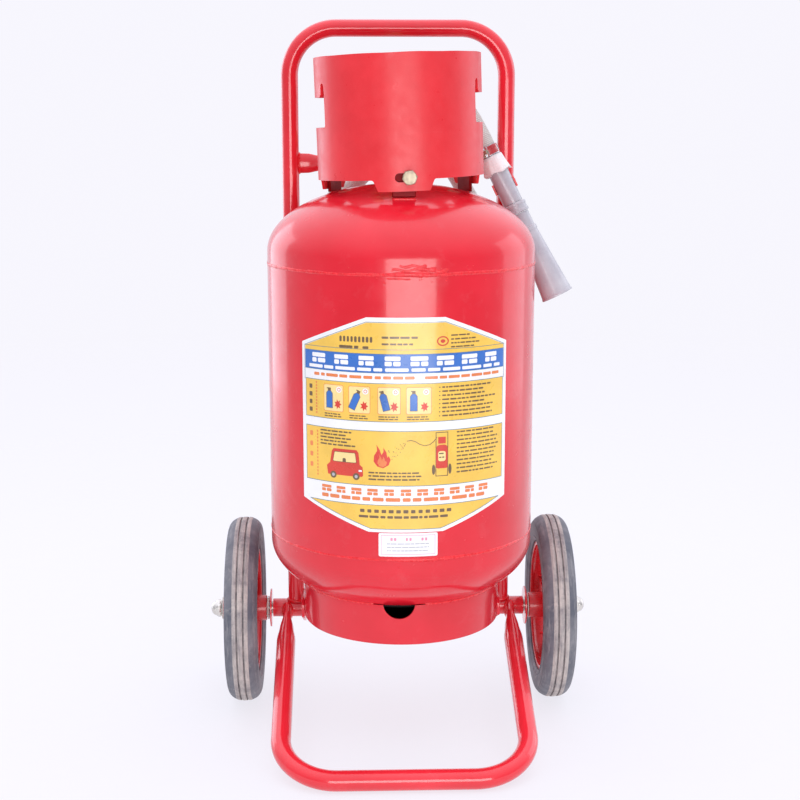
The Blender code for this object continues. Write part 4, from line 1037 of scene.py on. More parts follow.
for i, (a0, a1, dz, w) in enumerate(((-7, 13, 0.0062, 0.0034), (-4, 9, 0.0098, 0.0030), (5, 18, 0.0040, 0.0032))):
    run_pts = [Vector(((R - 0.0024) * math.sin(math.radians(a0 + (a1 - a0) * k / 10)), -(R - 0.0024) * math.cos(math.radians(a0 + (a1 - a0) * k / 10)), Z_TOP_SEAM + dz + 0.0011 * math.sin(k * 1.3 + i))) for k in range(11)]
    bead("weld_patch_%d" % i, run_pts, w, seed=61 + i, rough=0.35, wander=0.0005)
run_pts = [Vector(((R - 0.0008) * math.sin(math.radians(a)), -(R - 0.0008) * math.cos(math.radians(a)), Z_TOP_SEAM + 0.0046 - 0.0003 * abs(a - 9))) for a in range(3, 15)]
bead("weld_third_run", run_pts, 0.0014, seed=11, rough=0.4, wander=0.0004)

turned("neck_ring", [(0.0165, 0.7222), (0.0285, 0.7222, 0.0010), (0.0298, 0.7208, 0.0008), (0.0298, 0.6990), (0.0165, 0.6990)], RED, 96, rounding=0.0004, stands="neck_boss", slot="red_paint")
bead("weld_neck", ring_points(0, 0, Z_TOP_TAN + head(0.0310, R, HEAD_H) + 0.0006, 0.0306, n=120), 0.0026, closed=True, seed=13)

# ------------------------------------------------------------------ skirt
skirt_v, skirt_f = clean_faces(*turn(soft_corners([(SKIRT_R - SKIRT_T, 0.2040, 0.0004), (SKIRT_R, SKIRT_Z1, 0.0004), (SKIRT_R, 0.190), (SKIRT_R, 0.175), (SKIRT_R, SKIRT_Z0, 0.0034), (SKIRT_R - 0.0060, SKIRT_Z0, 0.0004), (0, SKIRT_Z0), (0, SKIRT_Z0 + 0.0030), (SKIRT_R - 0.0060, SKIRT_Z0 + 0.0030, 0.002), (SKIRT_R - SKIRT_T, SKIRT_Z0 + 0.0050, 0.002), (SKIRT_R - SKIRT_T, 0.175), (SKIRT_R - SKIRT_T, 0.190)], True, 5), 192, True))
skirt = mesh_object("skirt_ring_piece", skirt_v, skirt_f, RED, stands="base_skirt", slot="red_paint")
cut_me = bpy.data.meshes.new("vent_cut")
bm = bmesh.new()
bmesh.ops.create_cone(bm, cap_ends=True, segments=72, radius1=0.0195, radius2=0.0195, depth=0.05)
bmesh.ops.transform(bm, matrix=Matrix.Translation((-0.0065, -0.125, 0.2075)) @ Matrix.Rotation(math.pi / 2, 4, "X"), verts=bm.verts)
bm.to_mesh(cut_me)
bm.free()
cutter = bpy.data.objects.new("vent_cut", cut_me)
cutter.location = (0, DY, 0)
bpy.context.scene.collection.objects.link(cutter)
bo = skirt.modifiers.new("vent", "BOOLEAN")
bo.operation = "DIFFERENCE"
bo.solver = "EXACT"
bo.object = cutter
bpy.context.view_layer.update()
dg = bpy.context.evaluated_depsgraph_get()
new = bpy.data.meshes.new_from_object(skirt.evaluated_get(dg))
skirt.modifiers.clear()
skirt.data = new
bpy.data.objects.remove(cutter, do_unlink=True)
new.polygons.foreach_set("use_smooth", [True] * len(new.polygons))
new.set_sharp_from_angle(angle=math.radians(35))
# the skirt's inner wall and pan: near-black painted shade
shade_inside_faces(skirt, lambda c: math.hypot(c.x, c.y) < SKIRT_R - SKIRT_T + 0.0003 and c.z > SKIRT_Z0 + 0.0020)
bead("weld_skirt", ring_points(0, 0, SKIRT_Z1 + 0.0010, SKIRT_R + 0.0002, n=300, a0=math.radians(-90 + 11.5), a1=math.radians(270 - 17.5)), 0.0021, seed=17)

# ------------------------------------------------------------------ guard
rc = GUARD_R
HALF = math.pi * rc


def arc_x(x):
    return rc * math.asin(max(-1, min(1, x / rc)))


def tab(s0, wide, narrow):
    return [(s0 - arc_x(wide), GUARD_Z0, 0.003), (s0 - arc_x(narrow), TAB_Z, 0.002), (s0 + arc_x(narrow), TAB_Z, 0.002), (s0 + arc_x(wide), GUARD_Z0, 0.003)]


s120 = rc * math.radians(120)
edge = [(-HALF, 0.783), (-HALF + 0.008, 0.783, 0.006), (-HALF + 0.018, 0.778, 0.006), (-HALF + 0.0243, 0.768, 0.006), (-HALF + 0.0243, GUARD_Z0, 0.002)]
edge += tab(-s120, 0.030, 0.024) + tab(0.0, 0.0364, 0.0306) + tab(s120, 0.030, 0.024)
edge += [(HALF - 0.0243, GUARD_Z0, 0.002), (HALF - 0.0243, 0.768, 0.006), (HALF - 0.018, 0.778, 0.006), (HALF - 0.008, 0.783, 0.006), (HALF, 0.783), (HALF, GUARD_Z1)]
top_edge = []
for i in range(1, 60):
    s = HALF - 2 * HALF * i / 60
    top_edge.append((s, GUARD_Z1 + 0.00045 * noise.noise(Vector((s * 30, 0, 0)))))
edge += top_edge + [(-HALF, GUARD_Z1)]
loops = [soft_corners(edge, True, 5)]
for s0 in (-s120, 0.0, s120):
    slot_ = []
    for k in range(17):
        t = -math.pi / 2 + math.pi * k / 16
        slot_.append((s0 + 0.0065 + 0.0052 * math.cos(t), BOLT_Z + 0.0053 * math.sin(t)))
    for k in range(17):
        t = math.pi / 2 + math.pi * k / 16
        slot_.append((s0 - 0.0055 + 0.0052 * math.cos(t), BOLT_Z + 0.0053 * math.sin(t)))
    loops.append(slot_)
y0, y1 = -0.0475, 0.0475
win = [(y0, 0.7785, 0.004), (y1, 0.7785, 0.004), (y1, 0.8145, 0.004), (y0 + 0.012, 0.8145, 0.003), (y0 + 0.0085, 0.8170, 0.002), (y0 + 0.0080, 0.8280, 0.003), (y0 + 0.0050, 0.8310, 0.003), (y0 + 0.0012, 0.8290, 0.003), (y0, 0.8200)]
for sx in (-1, 1):
    w = [(sx * (rc * math.pi / 2 + rc * math.asin(y / rc)), z, r[0] if r else 0.0) for y, z, *r in win]
    loops.append(soft_corners(w[::sx], True, 5))
lean = Matrix.Translation((0, 0, GUARD_Z0)) @ Matrix.Rotation(GUARD_LEAN, 4, "Y") @ Matrix.Translation((0, 0, -GUARD_Z0))
guard = rolled("guard_shroud", loops, rc, GUARD_T, GUARD, step=rc * math.radians(2.5), zstep=0.012, lean=lean, bevel=0.0006, stands="guard_ring", slot="guard_paint", angle=40)
seam_pts = [lean @ Vector((0, rc - 0.0012, z)) for z in (0.7845, 0.80, 0.82, 0.84, 0.8605)]
bead("weld_guard_seam", seam_pts, 0.0024, seed=19, material=WELD_LIT)

for tag, a in (("front", -90.0), ("right", 30.0), ("left", 150.0)):
    ang = math.radians(a)
    c, s = math.cos(ang), math.sin(ang)
    spin = Matrix.Rotation(ang + math.pi / 2, 4, "Z")
    off = spin.to_3x3() @ Vector((0.0065 if tag == "front" else 0.0, 0, -math.sin(GUARD_LEAN) * GUARD_R * c))
    # the lugs take the darker red copy: painted shade under the tabs
    refine("guard_lug_" + tag, RED_SHADED, 0.0007, slot="red_paint")
    # the bolt: chamfered head, flange washer face, shank with a turned end
    hv2, hf2 = hex_head(0.0092, 0.0060, 0.0005, 0.0)
    wv, wf = turn(soft_corners([(0.0, -0.0002), (0.0084, -0.0002, 0.0001), (0.0084, 0.0006, 0.0002), (0.0, 0.0006)], True, 2), 48, True)
    sv2, sf2 = turn(soft_corners([(0.0, -0.0268), (0.0040, -0.0268, 0.0005), (0.0047, -0.0260, 0.0003), (0.0047, 0.0), (0.0, 0.0)], True, 2), 32, True)
    groups = [(hv2, hf2, 0), (*clean_faces(wv, wf), 0), (*clean_faces(sv2, sf2), 0)]
    for k in range(14):
        z0 = -0.0252 + k * 0.00125
        tv2, tf2 = turn([(0.00462, z0), (0.00492, z0 + 0.0004), (0.00462, z0 + 0.0008)], 32, True)
        groups.append((tv2, tf2, 0))
    base = Vector(((GUARD_R + 0.0014) * c, (GUARD_R + 0.0014) * s, BOLT_Z)) + off
    m4 = (spin @ Matrix.Rotation(math.pi / 2, 4, "X") @ Matrix.Rotation(math.radians(10), 4, "Z"))
    joined("bolt_" + tag, groups, BOLT, stands="guard_bolt_" + tag, slot="zinc_plate", at=base + Vector((0, DY, 0)), rot=m4.to_3x3(), angle=28)
    for side in (-1, 1):
        zr = []
        for t in (-1.0, -0.5, 0.0, 0.5, 1.0):
            px = 0.0140 * t
            rad = 0.0950 + side * 0.0021
            q = spin.to_3x3() @ Vector((px, 0, 0)) + Vector((rad * c, rad * s, 0))
            rr = math.hypot(q.x, q.y)
            q.z = Z_TOP_TAN + head(rr, R, HEAD_H) + 0.0004
            zr.append(q)
        bead("weld_lug_%s_%s" % (tag, "in" if side < 0 else "out"), zr, 0.0019, seed=23 + side, rough=0.3)

# ------------------------------------------------------------------ handle frame, brace and foot
hz = HANDLE_TOP - TUBE_R
hp = bends([(-HANDLE_X, HANDLE_Y, AXLE_Z + SLEEVE_R + 0.0006), (-HANDLE_X, HANDLE_Y, hz), (HANDLE_X, HANDLE_Y, hz), (HANDLE_X, HANDLE_Y, AXLE_Z + SLEEVE_R + 0.0006)], HANDLE_BEND, 28)
hp = resample(hp[:2], 0.02)[:-1] + hp[1:30] + resample(hp[29:31], 0.02)[1:-1] + hp[30:59] + resample(hp[58:], 0.02)[1:]
tv, tf, _ = tube(hp, TUBE_R, 40)
mesh_object("handle_tube", tv, tf, RED_TUBE, stands="handle_frame", slot="red_paint", angle=50)


def sweep_flat(name, pts, sizes, side, material, segs=40, power=2.0, **kw):
    verts, faces = [], []
    n = len(pts)
    for i, (p, (a, b)) in enumerate(zip(pts, sizes)):
        d = (pts[min(i + 1, n - 1)] - pts[max(i - 1, 0)]).normalized()
        s = side(i, d) if callable(side) else side
        s = (s - d * s.dot(d)).normalized()
        h = d.cross(s)
        for k in range(segs):
            t = math.tau * k / segs
            verts.append(p + s * a * math.cos(t) + h * b * math.sin(t))
    for i in range(n - 1):
        for k in range(segs):
            l = (k + 1) % segs
            faces.append((i * segs + k, i * segs + l, (i + 1) * segs + l, (i + 1) * segs + k))
    faces.append(tuple(range(segs))[::-1])
    faces.append(tuple((n - 1) * segs + k for k in range(segs)))
    return mesh_object(name, verts, faces, material, angle=50, **kw)


def eased_sizes(run, knots):
    """(a, b) at each distance, eased between knots (distance, a, b)."""
    out = []
    for s in run:
        for (s0, a0, b0), (s1, a1, b1) in zip(knots, knots[1:]):
            if s <= s1:
                t = ease((s - s0) / max(s1 - s0, 1e-9))
                out.append((a0 + (a1 - a0) * t, b0 + (b1 - b0) * t))
                break
        else:
            out.append(knots[-1][1:])
    return out


bx = HANDLE_X - TUBE_R - 0.0003
bp = [Vector((-bx + 2 * bx * i / 64, 0.1128, 0.7290)) for i in range(65)]
run = [min(p.x + bx, bx - p.x) for p in bp]
sweep_flat("brace_tube", bp, eased_sizes(run, [(0, 0.0050, 0.0128), (0.010, 0.0052, 0.0126), (0.026, 0.0070, 0.0100), (0.042, 0.0083, 0.0086), (1, 0.0083, 0.0086)]), Vector((0, 1, 0)), RED_TUBE, stands="cross_brace", slot="red_paint")
for sx in (-1, 1):
    ring = [Vector((sx * (bx + 0.0001), 0.1128 + 0.0053 * math.cos(t), 0.7290 + 0.0130 * math.sin(t))) for t in [math.tau * k / 40 for k in range(40)]]
    bead("weld_brace_%s" % ("left" if sx < 0 else "right"), ring, 0.0013, closed=True, seed=29 + sx, rough=0.25)

slope_end = Vector((FOOT_X, AXLE_Y - SLEEVE_R - 0.0012, 0.1225))
bar = Vector((FOOT_X, FOOT_Y, FOOT_R + 0.0002))
fp = bends([slope_end, bar, (-FOOT_X, bar.y, bar.z), (-slope_end.x, slope_end.y, slope_end.z)], FOOT_BEND, 28)
fp = resample(fp[:2], 0.006)[:-1] + fp[1:30] + resample(fp[29:31], 0.02)[1:-1] + fp[30:59] + resample(fp[58:], 0.006)[1:]
run = [0.0]
for a, b in zip(fp, fp[1:]):
    run.append(run[-1] + (b - a).length)
total = run[-1]
sizes = eased_sizes([min(s, total - s) for s in run], [(0, 0.0050, 0.0185), (0.018, 0.0060, 0.0172), (0.036, 0.0096, 0.0145), (0.060, FOOT_R, FOOT_R), (9, FOOT_R, FOOT_R)])
foot_plane = (slope_end - bar).normalized().cross(Vector((1, 0, 0)))
sweep_flat("foot_tube", fp, sizes, lambda i, d: d.cross(foot_plane), RED_TUBE, stands="foot_frame", slot="red_paint")

for tag, sx in (("left", -1), ("right", 1)):
    refine("skirt_bracket_" + tag, RED, 0.0008, slot="red_paint")
    x = sx * 0.1276
    xf = sx * FOOT_X
    # welds: foot on sleeve, tube on sleeve, bracket on skirt and sleeve
    pts = []
    for k in range(30):
        t = math.tau * k / 30
        pts.append(Vector((xf + 0.0052 * math.cos(t), slope_end.y + 0.0006, slope_end.z + 0.0165 * math.sin(t) * 0.75 + 0.001)))
    bead("weld_foot_" + tag, pts, 0.0022, closed=True, seed=31 + sx, rough=0.3)
    bead("weld_upright_" + tag, ring_points(sx * HANDLE_X, HANDLE_Y, AXLE_Z + SLEEVE_R - 0.0004, TUBE_R + 0.0002, n=48), 0.0021, closed=True, seed=33 + sx, rough=0.3)
    for e in (-1, 1):
        bead("weld_bracket_%s_%s" % (tag, "a" if e < 0 else "b"), [Vector((x + e * 0.0022, 0.0962, z)) for z in (0.1186, 0.126, 0.134, 0.1436)], 0.0017, seed=37 + e + sx)

# ------------------------------------------------------------------ axle, wheels and tyres
turn_x = Matrix.Rotation(math.pi / 2, 3, "Y")
AX = Vector((0, AXLE_Y + DY, AXLE_Z))
turned("axle_tube", [(0.0086, 0.1720), (SLEEVE_R, 0.1720), (SLEEVE_R, -0.1720), (0.0086, -0.1720)], RED_TUBE, 64, rounding=0.0006, stands="axle_sleeve", slot="red_paint", at=AX, rot=turn_x)
turned("axle_bar", [(0, 0.2425), (ROD_R, 0.2425, 0.0010), (ROD_R, -0.2425, 0.0010), (0, -0.2425)], ZINC, 48, rounding=0.0, stands="axle_rod", slot="zinc_plate", at=AX, rot=turn_x)


def tyre_outline():
    """Half of the tyre's section as (radius, offset), from the bead over the sidewall to the crown, with its three ribs."""
    h = (TYRE_X1 - TYRE_X0) / 2
    left = [(0.0888, h - 0.0036), (0.0912, h - 0.0022), (0.0935, h - 0.0013), (0.0940, h - 0.0004), (0.0956, h - 0.0002), (0.0962, h - 0.0010), (0.1000, h - 0.0002), (0.1060, h), (0.1110, h - 0.0002), (0.1128, h - 0.0002), (0.1132, h - 0.0010), (0.1146, h - 0.0012), (0.1152, h - 0.0010),
            (0.1176, h - 0.0026), (0.1200, h - 0.0048), (0.1218, h - 0.0074), (0.1232, h - 0.0104)]
    crown = []
    # shoulder rib, groove, middle rib, groove, shoulder rib
    for w, r, kind in ((0.0104, 0.1236, 1), (0.0086, 0.1243, 1), (0.0062, 0.12465, 1), (0.0054, 0.1246, 1), (0.0049, 0.1234, 2), (0.0045, 0.1230, 2), (0.0040, 0.1230, 2), (0.0036, 0.1234, 2), (0.0031, 0.1248, 1), (0.0020, 0.1250, 1)):
        crown.append((r, w, kind))
    pts = [(r, w, 0) for r, w in left] + [(r, w, k) for r, w, k in crown]
    pts = pts + [(r, -w, k) for r, w, k in pts[::-1]]
    return pts


def wheel_side(tag, sx):
    body = tag + "_wheel"
    at = Vector((sx * TC, AXLE_Y + DY, AXLE_Z))
    out = tyre_outline()
    prof = [(r, w) for r, w, _ in out]
    kinds = [k for _, _, k in out]
    segs = 220
    rs = random.Random(40 + sx)
    bites = [(rs.uniform(0, math.tau), rs.choice([-1, 1]) * rs.uniform(0.008, 0.016), rs.uniform(0.004, 0.009)) for _ in range(16)]
    v, f = turn(prof, segs, True)
    fm = []
    for i in range(len(prof)):
        j = (i + 1) % len(prof)
        a, b = kinds[i], kinds[j]
        kind = 0 if (a == 0 or b == 0) else max(a, b)
        if i == len(prof) - 1:
            kind = 0
        fm += [kind] * segs
    vv = []
    for idx, p in enumerate(v):
        i, k = divmod(idx, segs)
        a = math.tau * k / segs
        r, w = prof[i]
        q = Vector(p)
        u = Vector((math.cos(a), math.sin(a), 0))
        if r > 0.115:
            wear = 0.00035 * noise.noise(Vector((math.cos(a) * 9, math.sin(a) * 9, w * 160 + sx * 5))) + 0.0002 * noise.noise(u * 40 + Vector((0, 0, w * 400)))
            for ba, bw, bs in bites:
                da = ((a - ba + math.pi) % math.tau - math.pi) * r
                d2 = (da / bs) ** 2 + ((w - bw) / (bs * 0.6)) ** 2
                if d2 < 1:
                    wear -= 0.0011 * (1 - d2)
            q -= u * max(0.0, -wear) if wear < 0 else Vector((0, 0, 0))
            if kinds[i] == 2:
                q.z += 0.0004 * noise.noise(Vector((math.cos(a) * 14, math.sin(a) * 14, 7)))
        vv.append(q)
    mesh_object("tyre_" + tag + "_piece", vv, f, [TYRE_SIDE, TYRE_TREAD, TYRE_GROOVE], body=body, stands="tyre_" + tag, slot="tyre", at=at, rot=turn_x, face_mats=fm, angle=42, fix=True)

    h = 0.0165
    rim = soft_corners([(0.0827, h, 0.0006), (0.0879, h, 0.0008), (0.0879, -h, 0.0008), (0.0827, -h, 0.0006), (0.0827, -h + 0.0030, 0.0010), (0.0848, -h + 0.0058, 0.0025), (0.0848, h - 0.0058, 0.0025), (0.0827, h - 0.0030, 0.0010)], True, 4)
    groups = [(*turn(rim, 128, True), 0)]
    hub = soft_corners([(0.0132, 0.0290, 0.0004), (0.0173, 0.0290, 0.0012), (0.0173, -0.0300, 0.0012), (0.0132, -0.0300, 0.0004)], True, 4)
    hv3, hf3 = turn(hub, 64, True)
    groups.append((moved(hv3, Matrix.Translation((0, 0, sx * -0.0005 + (0.0005 if sx > 0 else -0.0005)))), hf3, 0))
    for k in range(5):
        ang = math.radians(90 + 72 * k)
        # pressed channel, open outwards, waisted in the middle
        n = 26
        sect = soft_corners([(-0.0125, -0.0050, 0.0014), (0.0125, -0.0050, 0.0014), (0.0125, 0.0050, 0.0004), (0.0103, 0.0050, 0.0004), (0.0090, -0.0026, 0.0016), (-0.0090, -0.0026, 0.0016), (-0.0103, 0.0050, 0.0004), (-0.0125, 0.0050, 0.0004)], True, 4)
        sv3, sf3 = [], []
        for i in range(n + 1):
            t = i / n
            rr = 0.0150 + 0.0700 * t
            waist = 1.0 - 0.13 * math.sin(math.pi * t)
            for x, z in sect:
                sv3.append(Vector((rr, x * waist, sx * z)))
        m = len(sect)
        for i in range(n):
            for j in range(m):
                l = (j + 1) % m
                sf3.append((i * m + j, i * m + l, (i + 1) * m + l, (i + 1) * m + j))
        sf3.append(tuple(range(m)))
        sf3.append(tuple(n * m + j for j in range(m)))
        # wheel plane: local X is -Z of the frame after the turn about Y, local Y stays
        groups.append((moved(sv3, Matrix.Rotation(math.pi - ang, 4, "Z") @ Matrix.Identity(4)), sf3, 0))
    wheel = joined("wheel_" + tag + "_piece", groups, RED_WHEEL, body=body, stands="wheel_" + tag, slot="red_paint", at=at, rot=turn_x, angle=38)
    # spot welds of the spokes
    for k in range(5):
        ang = math.radians(90 + 72 * k)
        c, s = math.cos(ang), math.sin(ang)
        for rr, nm in ((0.0172, "hub"), (0.0832, "rim")):
            for e in (-1, 1):
                p0 = Vector((sx * (TC + 0.0052), AXLE_Y + rr * c - 0.0102 * e * s, AXLE_Z + rr * s + 0.0102 * e * c))
                p1 = Vector((sx * (TC - 0.0045), AXLE_Y + rr * c - 0.0102 * e * s, AXLE_Z + rr * s + 0.0102 * e * c))
                spokes.append((p0, p1, tag, sx))

    for where, x0, way in (("inner", 0.1776, 1), ("outer", 0.2404, -1)):
        up = sx * way
        prof2 = [(0.0083, 0.0, 0.0002), (0.0160, 0.0, 0.0004), (0.0160, 0.0014, 0.0004), (0.0127, 0.0014), (0.0127, 0.0200, 0.0003), (0.0083, 0.0200, 0.0003)]
        turned("bush_%s_%s" % (where, tag), prof2, NYLON, 48, rounding=0.0, body=NODES["wheel_bush_%s_%s" % (where, tag)]["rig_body"], stands="wheel_bush_%s_%s" % (where, tag), slot="bush_nylon", at=Vector((sx * x0, AXLE_Y + DY, AXLE_Z)), rot=Matrix.Rotation(up * math.pi / 2, 3, "Y"))
    for where, x0, r1, t, mt, sl in (("inner", 0.1745, 0.0260, 0.0010, RED_TUBE, "red_paint"), ("outer", 0.2413, 0.0150, 0.0006, ZINC, "zinc_plate")):
        node = "axle_washer_%s_%s" % (where, tag)
        turned("washer_%s_%s" % (where, tag), [(0.0085, t), (r1, t), (r1, -t), (0.0085, -t)], mt, 72, rounding=0.0004, body=NODES[node]["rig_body"], stands=node, slot=sl, at=Vector((sx * x0, AXLE_Y + DY, AXLE_Z)), rot=turn_x)
    hv4, hf4 = hex_head(0.0127, 0.0066, 0.0014, 0.0)
    dome = [(0.0, 0.0141)]
    for i in range(1, 13):
        t = i / 12 * math.pi / 2
        dome.append((0.0098 * math.sin(t), 0.0066 + 0.0075 * math.cos(t)))
    dome += [(0.0098, 0.0040), (0.0, 0.0040)]
    dv, df = clean_faces(*turn(dome, 48, True))
    node = "axle_nut_" + tag
    joined("cap_nut_" + tag, [(hv4, hf4, 0), (dv, df, 0)], ZINC, body=NODES[node]["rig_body"], stands=node, slot="zinc_plate", at=Vector((sx * 0.2430, AXLE_Y + DY, AXLE_Z)), rot=Matrix.Rotation(sx * math.pi / 2, 3, "Y"), angle=30)


spokes = []
for tag, sx in (("left", -1), ("right", 1)):
    wheel_side(tag, sx)
for tag, sx in (("left", -1), ("right", 1)):
    groups = []
    for i, (p0, p1, t, s) in enumerate(q for q in spokes if q[2] == tag):
        pts = resample([p0, p1], 0.0007)
        rad = [0.0013 * (0.85 + 0.2 * math.sqrt(1 - abs(((k * 0.0007 / 0.002) % 1) * 2 - 1)) + 0.2 * noise.noise(p * 300)) for k, p in enumerate(pts)]
        v, f, _ = tube(pts, rad, 8)
        groups.append(([Vector(q) - Vector((0, 0, 0)) for q in v], f, 0))
    joined("weld_spokes_" + tag, groups, WELD_LIT, body=tag + "_wheel", slot="red_paint", at=(0, DY, 0), angle=60)

# ------------------------------------------------------------------ hanger, clip
refine("hose_hanger", RED, 0.0010, slot="red_paint")
for e in (-1, 1):
    bead("weld_hanger_%s" % ("a" if e < 0 else "b"), [Vector((e * 0.0304, 0.1664, z)) for z in (0.505, 0.53, 0.56, 0.591)], 0.0019, seed=51 + e, rough=0.3)
refine("nozzle_clip", GUARD, 0.0005, slot="guard_paint")

# ------------------------------------------------------------------ valve, handle, lever, gauge
refine("valve_body", BRASS, 0.0006, slot="brass")
refine("carry_handle", ZINC, 0.0005, slot="zinc_plate")
refine("squeeze_lever", ZINC, 0.0005, slot="zinc_plate")
refine("lever_pin", STEEL, 0.0003, slot="bright_steel")
refine("valve_stem", STEEL, 0.0003, slot="bright_steel")
refine("gauge_case", BRASS, 0.0004, slot="brass")

# swivel nut with a turned ferrule
hexv, hexf = hex_head(0.0150, 0.0268, 0.0016, 0.0)
fv, ff = turn(soft_corners([(0.0066, 0.0260, 0.0003), (0.0124, 0.0260, 0.0002), (0.0124, 0.0330, 0.0004), (0.0143, 0.0352, 0.0010), (0.0143, 0.0400, 0.0006), (0.0136, 0.0412), (0.0143, 0.0424, 0.0006), (0.0143, 0.0480, 0.0006), (0.0136, 0.0492), (0.0143, 0.0504, 0.0006), (0.0143, 0.0560, 0.0006), (0.0136, 0.0572), (0.0143, 0.0584, 0.0006), (0.0143, 0.0688, 0.0010), (0.0066, 0.0688, 0.0003)], True, 3), 64, True)
joined("swivel_nut", [(hexv, hexf, 0), (fv, ff, 0)], BRASS, stands="hose_coupling", slot="brass", at=(0, 0.0585 + DY, OUTLET_Z), rot=Matrix.Rotation(-math.pi / 2, 3, "X"), angle=30)

# dial face with its coloured sectors and ticks
GX = -0.0263
dial_rot = Matrix.Rotation(-math.pi / 2, 3, "Y")
dial_at = Vector((GX, DY, OUTLET_Z))
D_RED = simple("dial_red", (0.62, 0.03, 0.02), 0.45, 140.0, 0.06, 0.00001)
D_GREEN = simple("dial_green", (0.02, 0.30, 0.06), 0.45, 140.0, 0.06, 0.00001)
D_YELLOW = simple("dial_yellow", (0.80, 0.50, 0.03), 0.45, 140.0, 0.06, 0.00001)
groups = [(*turn([(0.0025, 0.0054), (0.0183, 0.0054), (0.0183, 0.0062), (0.0025, 0.0062)], 72, True), 0)]


def sector(a0, a1, r0, r1, z, n=24):
    v, f = [], []
    for i in range(n + 1):
        a = math.radians(a0 + (a1 - a0) * i / n)
        for r, zz in ((r0, z), (r1, z), (r1, z + 0.00006), (r0, z + 0.00006)):
            v.append(Vector((r * math.cos(a), r * math.sin(a), zz)))
    for i in range(n):
        for k in range(4):
            l = (k + 1) % 4
            f.append((i * 4 + k, i * 4 + l, (i + 1) * 4 + l, (i + 1) * 4 + k))
    f += [(3, 2, 1, 0), (n * 4, n * 4 + 1, n * 4 + 2, n * 4 + 3)]
    return v, f


for a0, a1, mi in ((-65, -22, 1), (-22, 22, 2), (22, 65, 3)):
    groups.append((*sector(a0, a1, 0.0092, 0.0158, 0.00622), mi))
for i in range(11):
    a = -65 + 13 * i
    groups.append((*sector(a - 0.7, a + 0.7, 0.0150, 0.0176 if i % 5 == 0 else 0.0168, 0.00632, 2), 4))
dial = joined("dial_face", groups, [DIAL, D_RED, D_GREEN, D_YELLOW, BLACK], stands="gauge_dial", slot="white_card", at=dial_at, rot=dial_rot, angle=30)
refine("gauge_needle", BLACK, 0.0001, slot="needle_black")

glass = Mat("lens", (0.95, 0.96, 0.97), 0.04, Transmission_Weight=1.0, IOR=1.49)
glass.rough(glass.range(glass.noise(60.0, 4.0), 0.4, 0.75, 0.02, 0.10))
glass.bump(glass.noise(40.0, 2.0), 0.15, 0.00003)
lens_prof = [(0, 0.0145), (0.0040, 0.01447), (0.0080, 0.01440), (0.0120, 0.0142), (0.0160, 0.0139), (0.0184, 0.0136, 0.0003), (0.0184, 0.0122, 0.0003), (0.0120, 0.0124), (0, 0.0126)]
turned("gauge_window", lens_prof, glass.m, 64, rounding=0.0, stands="gauge_lens", slot="lens", at=dial_at, rot=dial_rot)

# safety pin with its pull ring
pv, pf, _ = tube([Vector((-0.0140 + 0.0340 * i / 20, -0.0115, 0.7940)) for i in range(21)], [0.0010] + [0.0016] * 19 + [0.0013], 20)
rp_ = ring_points(0.0300, -0.0115, 0.7940, 0.0105, "Y", n=64)
rv, rf, _ = tube(rp_, 0.0012, 14, closed=True)
joined("pull_pin", [(pv, pf, 0), (rv, rf, 0)], STEEL, body="pin", stands="safety_pin", slot="bright_steel", angle=50)

# pieces inside, out of sight, with their own finishes
for node, m in (("powder_charge", POWDER), ("dip_tube", ZINC), ("valve_seal", SEAL), ("valve_spring", STEEL)):
    o = NODES[node]
    o.data.materials.clear()
    o.data.materials.append(m)

# ------------------------------------------------------------------ labels: printed vinyl, drawn flat and wrapped
LR = R + 0.00035


